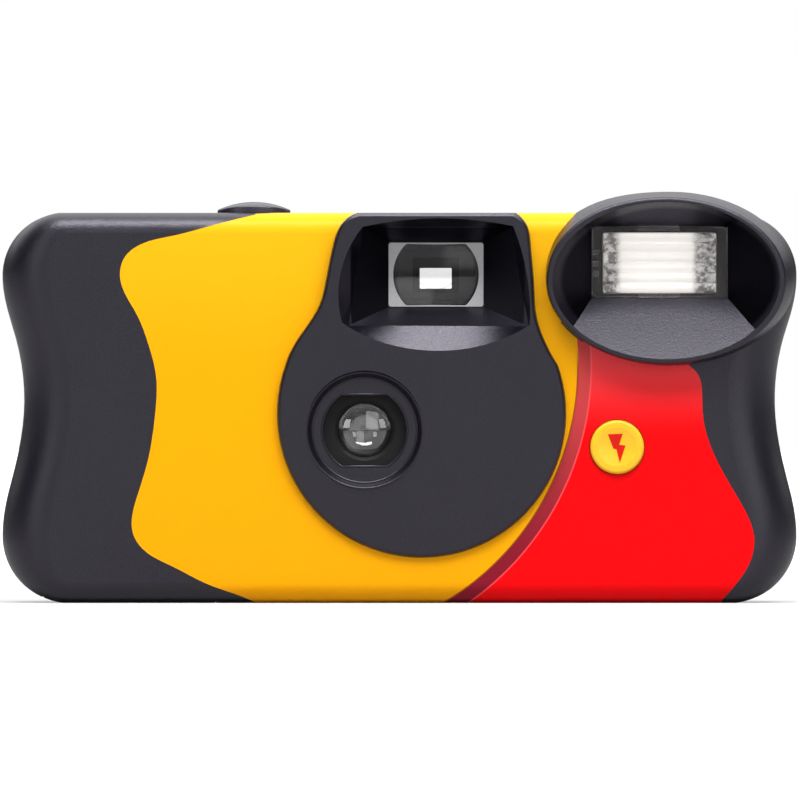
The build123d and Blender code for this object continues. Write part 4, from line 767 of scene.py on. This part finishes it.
lens = Box("taking_lens")
LENS_RADIUS, LENS_RINGS, LENS_STEPS = 3.86, 16, 96
LENS_FRONT_EDGE, LENS_FRONT_BULGE = -10.85, 1.05
LENS_BACK_EDGE, LENS_BACK_BULGE = -10.35, 1.0
EDGE_STEPS, BEAD_SIDES = 144, 10
# Each softened edge: its depth, its radius, the half height of its flats, and the bead's own radius
SOFT_EDGES = {
    "lens_recess_lip": (-14.93, 8.5, math.inf, 0.14),
    "lens_recess_step": (-13.76, 7.72, math.inf, 0.17),
    "lens_hole_lip": (-13.7, 6.3, 5.3, 0.16),
}


def lens_ring(y, radius, steps, half_height=math.inf):
    """A circle of points round the lens's axis, cut flat above and below."""
    points = []
    for n in range(steps):
        a = math.tau * n / steps
        rise = radius * math.sin(a)
        scale = min(1.0, half_height / abs(rise)) if rise else 1.0
        points.append((lens.x + radius * math.cos(a) * scale, y, lens.z + rise * scale))
    return points


def lens_face(edge, bulge, outwards):
    """Rings on one face of the lens, part of a ball, from its middle to its edge."""
    ball = (LENS_RADIUS**2 + bulge**2) / (2 * bulge)
    rings = []
    for n in range(1, LENS_RINGS + 1):
        radius = LENS_RADIUS * n / LENS_RINGS
        y = edge + outwards * (math.sqrt(ball**2 - radius**2) - ball + bulge)
        rings.append(lens_ring(y, radius, LENS_STEPS))
    return rings


def taking_lens():
    """The glass, from the middle of its front round to the middle of its back."""
    front = lens_face(LENS_FRONT_EDGE, LENS_FRONT_BULGE, -1)
    back = lens_face(LENS_BACK_EDGE, LENS_BACK_BULGE, 1)
    piece = skin("taking_lens_glass", front + back[::-1], lens_glass)
    fit(piece, "casing", "clear_optic", "taking_lens")


def soft_edges():
    """Round cords of the casing's plastic along edges round the lens, which soften them."""
    for name, (depth, edge_radius, half_height, bead) in SOFT_EDGES.items():
        loops = []
        for n in range(BEAD_SIDES):
            a = math.tau * n / BEAD_SIDES
            row = []
            for x, y, z in lens_ring(depth, edge_radius, EDGE_STEPS, half_height):
                across, up = x - lens.x, z - lens.z
                grow = 1 + bead * math.cos(a) / math.hypot(across, up)
                row.append((lens.x + across * grow, y + bead * math.sin(a), lens.z + up * grow))
            loops.append(row)
        fit(skin(name, loops, casing_black, closed=True), "casing", "black_plastic")


# Flash button: the bolt on its dished face

button = Box("flash_button")
DISH_RADIUS, DISH_DEPTH = 11.8, 0.35
BOLT_PIXELS = (
    (607.8, 434.2), (622.5, 433.6), (619.0, 444.7), (625.4, 445.4),
    (619.6, 462.9), (616.5, 449.2), (613.3, 448.6),
)
BOLT_STEPS, BOLT_SUNK, BOLT_PROUD = 6, 0.05, 0.06


def on_dish(px, py, proud):
    """A place on the button's hollow face, from a pixel of the photograph."""
    x, z = (px - PHOTO_X) * PIXEL, (PHOTO_Z - py) * PIXEL
    away = math.hypot(x - button.x, z - button.z)
    rise = DISH_RADIUS - math.sqrt(DISH_RADIUS**2 - away**2)
    return (x, button.front + DISH_DEPTH - rise - proud, z)


def button_bolt():
    """A raised bolt, with its sides cut in even steps so that it follows the hollow."""
    pixels = []
    for (x0, y0), (x1, y1) in zip(BOLT_PIXELS, BOLT_PIXELS[1:] + BOLT_PIXELS[:1]):
        for n in range(BOLT_STEPS):
            pixels.append((x0 + (x1 - x0) * n / BOLT_STEPS, y0 + (y1 - y0) * n / BOLT_STEPS))
    loops = [[on_dish(px, py, proud) for px, py in pixels] for proud in (-BOLT_SUNK, BOLT_PROUD)]
    piece = skin("flash_button_bolt", loops, bolt_red, smooth=False)
    fit(piece, "flash_button_body", "flash_button_plastic")


# Shutter button: the coil under it

spring = Box("button_spring")
WIRE_RADIUS, WIRE_SIDES = 0.16, 8
COIL_RADIUS = (spring.right - spring.left) / 2 - WIRE_RADIUS
COIL_TURNS, TURN_STEPS, SHUTTER_TRAVEL = 5, 24, 1.2


def button_coil():
    """One round wire in even turns."""
    height = spring.top - spring.bottom
    rise = (height - 2 * WIRE_RADIUS) / (COIL_TURNS * TURN_STEPS)
    sections = []
    for n in range(COIL_TURNS * TURN_STEPS + 1):
        a = math.tau * n / TURN_STEPS
        z = spring.bottom + WIRE_RADIUS + rise * n
        section = []
        for m in range(WIRE_SIDES):
            b = math.tau * m / WIRE_SIDES
            away = COIL_RADIUS + WIRE_RADIUS * math.cos(b)
            x, y = spring.x + away * math.cos(a), spring.y + away * math.sin(a)
            section.append((x, y, z + WIRE_RADIUS * math.sin(b)))
        sections.append(section)
    coil = skin("button_spring_coil", sections, spring_steel)
    fit(coil, "casing", "spring_steel", "button_spring")
    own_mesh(coil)


# Counter dial: a number for every third picture, with its head towards the middle, and a tick for each

dial = Box("counter_dial")
PICTURES, NUMBER_EVERY = 30, 3
NUMBER_RADIUS, NUMBER_HEIGHT, PRINT_HEIGHT, MERGE_WITHIN = 4.0, 2.0, 0.05, 0.001


def dial_numbers():
    """The numbers as raised print, all in one piece."""
    shape = bmesh.new()
    for count in range(0, PICTURES, NUMBER_EVERY):
        words = bpy.data.curves.new("number", "FONT")
        words.body = str(count)
        words.align_x, words.align_y = "CENTER", "CENTER"
        words.size = NUMBER_HEIGHT
        words.extrude = PRINT_HEIGHT
        words.resolution_u = 3
        carrier = add("number", words)
        flat = plain_mesh(carrier)
        bpy.data.objects.remove(carrier)
        turn = math.tau * count / PICTURES
        for corner in flat.vertices:
            x, y, z = corner.co
            y = NUMBER_RADIUS - y
            corner.co = Vector((
                dial.x - x * math.cos(turn) - y * math.sin(turn),
                dial.y - x * math.sin(turn) + y * math.cos(turn),
                dial.top + z,
            )) * MM
        shape.from_mesh(flat)
    bmesh.ops.remove_doubles(shape, verts=shape.verts, dist=MERGE_WITHIN * MM)
    fit(solid("counter_dial_numbers", shape, dial_ink), "counter_disc", "white_plastic")


def dial_ticks():
    """A ring of short bars that point outwards."""
    ticks = Growth("dial_ticks", Pictures=PICTURES, Radius=5.6, Length=0.7, Width=0.16, Height=0.1)
    circle = ticks.node(
        "GeometryNodeMeshCircle", None, {"Vertices": ticks.size("Pictures"), "Radius": ticks.size("Radius")}
    )
    size = ticks.vector(ticks.size("Width"), ticks.size("Length"), ticks.size("Height"))
    bar = ticks.node("GeometryNodeMeshCube", None, {"Size": size})
    spot = ticks.node("GeometryNodeInputPosition")
    outwards = ticks.node("FunctionNodeAlignRotationToVector", {"axis": "Y"}, {"Vector": spot})
    set_out = ticks.node(
        "GeometryNodeInstanceOnPoints", None, {"Points": circle, "Instance": bar, "Rotation": outwards}
    )
    piece = ticks.grow("counter_dial_ticks", set_out, (dial.x, dial.y, dial.top), dial_ink)
    fit(piece, "counter_disc", "white_plastic")


window_plate()
window_ribs()
reflector_holder()
frosted_corners()
field_mask()
window_studs()
taking_lens()
soft_edges()
button_bolt()
button_coil()
dial_numbers()
dial_ticks()


# Studio, in metres

AIM = (0, 0, 0.03)
FLOOR_REACH = 9.0
# The floor's own glow beside the object, and how many millimetres away it starts to rise and is white
FLOOR_GLOW, FLOOR_RISE, FLOOR_WHITE = 0.45, 120.0, 900.0
# How strongly each part of the studio shows in the object's gloss
CARD, PANE, BEHIND, OVERHEAD, ALL_ROUND, LOST_LEFT = 0.30, 1.25, 1.3, 1.5, 0.06, 0.04


def softbox(name, place, size, power):
    """A rectangular light at its place, aimed at the camera's middle."""
    data = bpy.data.lights.new(name, "AREA")
    data.shape = "RECTANGLE"
    data.size, data.size_y = size
    data.energy = power
    box = add(name, data)
    box.location = place
    box.rotation_euler = (Vector(AIM) - Vector(place)).to_track_quat("-Z", "Y").to_euler()


def floor():
    """A pale floor, flat and wide on every side, that goes white away from the object."""
    mesh = bpy.data.meshes.new("floor")
    near, far = -FLOOR_REACH, FLOOR_REACH
    mesh.from_pydata([(near, near, 0), (far, near, 0), (far, far, 0), (near, far, 0)], [], [(0, 1, 2, 3)])
    made = Finish("floor_white", roughness=0.8, specular_ior_level=0.0, emission_strength=1.0)
    away = (made.along("X") ** 2 + made.along("Y") ** 2) ** 0.5
    seen = made.node("ShaderNodeLightPath", out="Is Camera Ray")
    seen = seen.math("MAXIMUM", made.node("ShaderNodeLightPath", out="Is Transmission Ray"))
    lit = seen * (away.step(FLOOR_RISE, FLOOR_WHITE) * (1 - FLOOR_GLOW) + FLOOR_GLOW)
    made.set("emission_color", made.mix(lit, BLACK, WHITE))
    made.set("base_color", made.mix(made.noise(3.0), (0.36, 0.36, 0.36), (0.38, 0.38, 0.38)))
    # Seen from below it is left out, so that the camera's underside shows
    under = made.node("ShaderNodeNewGeometry", out="Backfacing")
    above = Value(made, made.shader.outputs["BSDF"])
    nothing = made.node("ShaderNodeBsdfTransparent")
    both = made.node("ShaderNodeMixShader", None, {0: under, 1: above, 2: nothing})
    made.plug(both, made.nodes["Material Output"].inputs["Surface"])
    mesh.materials.append(made.material)
    return add("floor", mesh)


def surroundings():
    """What glossy surfaces mirror of the studio, and the white that is seen behind the object."""
    world = bpy.data.worlds.new("studio")
    world.use_nodes = True
    sky = Tree(world.node_tree)
    way = sky.node("ShaderNodeTexCoord", out="Generated")
    # Parts of a direction of length 1: to the right, away behind the object, up, and back to the camera
    side = sky.axis("X", way)
    ahead = sky.axis("Y", way)
    rise = sky.axis("Z", way)
    toward = ahead * -1
    dim_left = (side * -1).step(0.45, 0.9) * LOST_LEFT
    card = toward.step(0.74, 0.90) * (1 - toward.step(0.965, 0.99)) * CARD
    pane = side.band(0.05, 0.50, 0.03) * rise.step(0.03, 0.08) * toward.step(0.50, 0.56) * PANE
    behind = ahead.step(0.10, 0.50) * rise.step(0.12, 0.40) * BEHIND
    overhead = rise.step(0.68, 0.92) * OVERHEAD
    glow = card + pane + behind + overhead + ALL_ROUND - dim_left
    seen = sky.node("ShaderNodeLightPath", out="Is Camera Ray")
    through = sky.node("ShaderNodeLightPath", out="Is Transmission Ray") * ahead.step(0.3, 0.6)
    seen = seen.math("MAXIMUM", through * 0.9)
    background = sky.nodes["Background"]
    sky.plug(glow.math("MAXIMUM", seen), background.inputs["Strength"])
    sky.plug(WHITE, background.inputs["Color"])
    return world


floor()
scene.world = surroundings()
softbox("top", (0.04, -0.40, 0.72), (0.9, 0.30), 8.0)
softbox("front_right", (0.72, -0.82, 0.30), (0.30, 0.36), 0.7)
softbox("front_left", (-0.72, -0.82, 0.30), (0.30, 0.36), 0.8)

# Camera, level and straight in front, with the photograph's framing in the plane of FOCUS_Y
CAMERA_X, CAMERA_HEIGHT, CAMERA_DISTANCE, FOCUS_Y = -0.00015, 0.03008, 3.0, -0.012
camera_data = bpy.data.cameras.new("camera")
camera_data.sensor_width = 36.0
camera_data.lens = camera_data.sensor_width * CAMERA_DISTANCE / (PHOTO_WIDTH * PIXEL * MM)
camera_data.clip_end = 20.0
camera = add("camera", camera_data)
camera.location = (CAMERA_X, FOCUS_Y - CAMERA_DISTANCE, CAMERA_HEIGHT)
camera.rotation_euler = (math.radians(90), 0, 0)
scene.camera = camera
scene.view_settings.view_transform = "Standard"
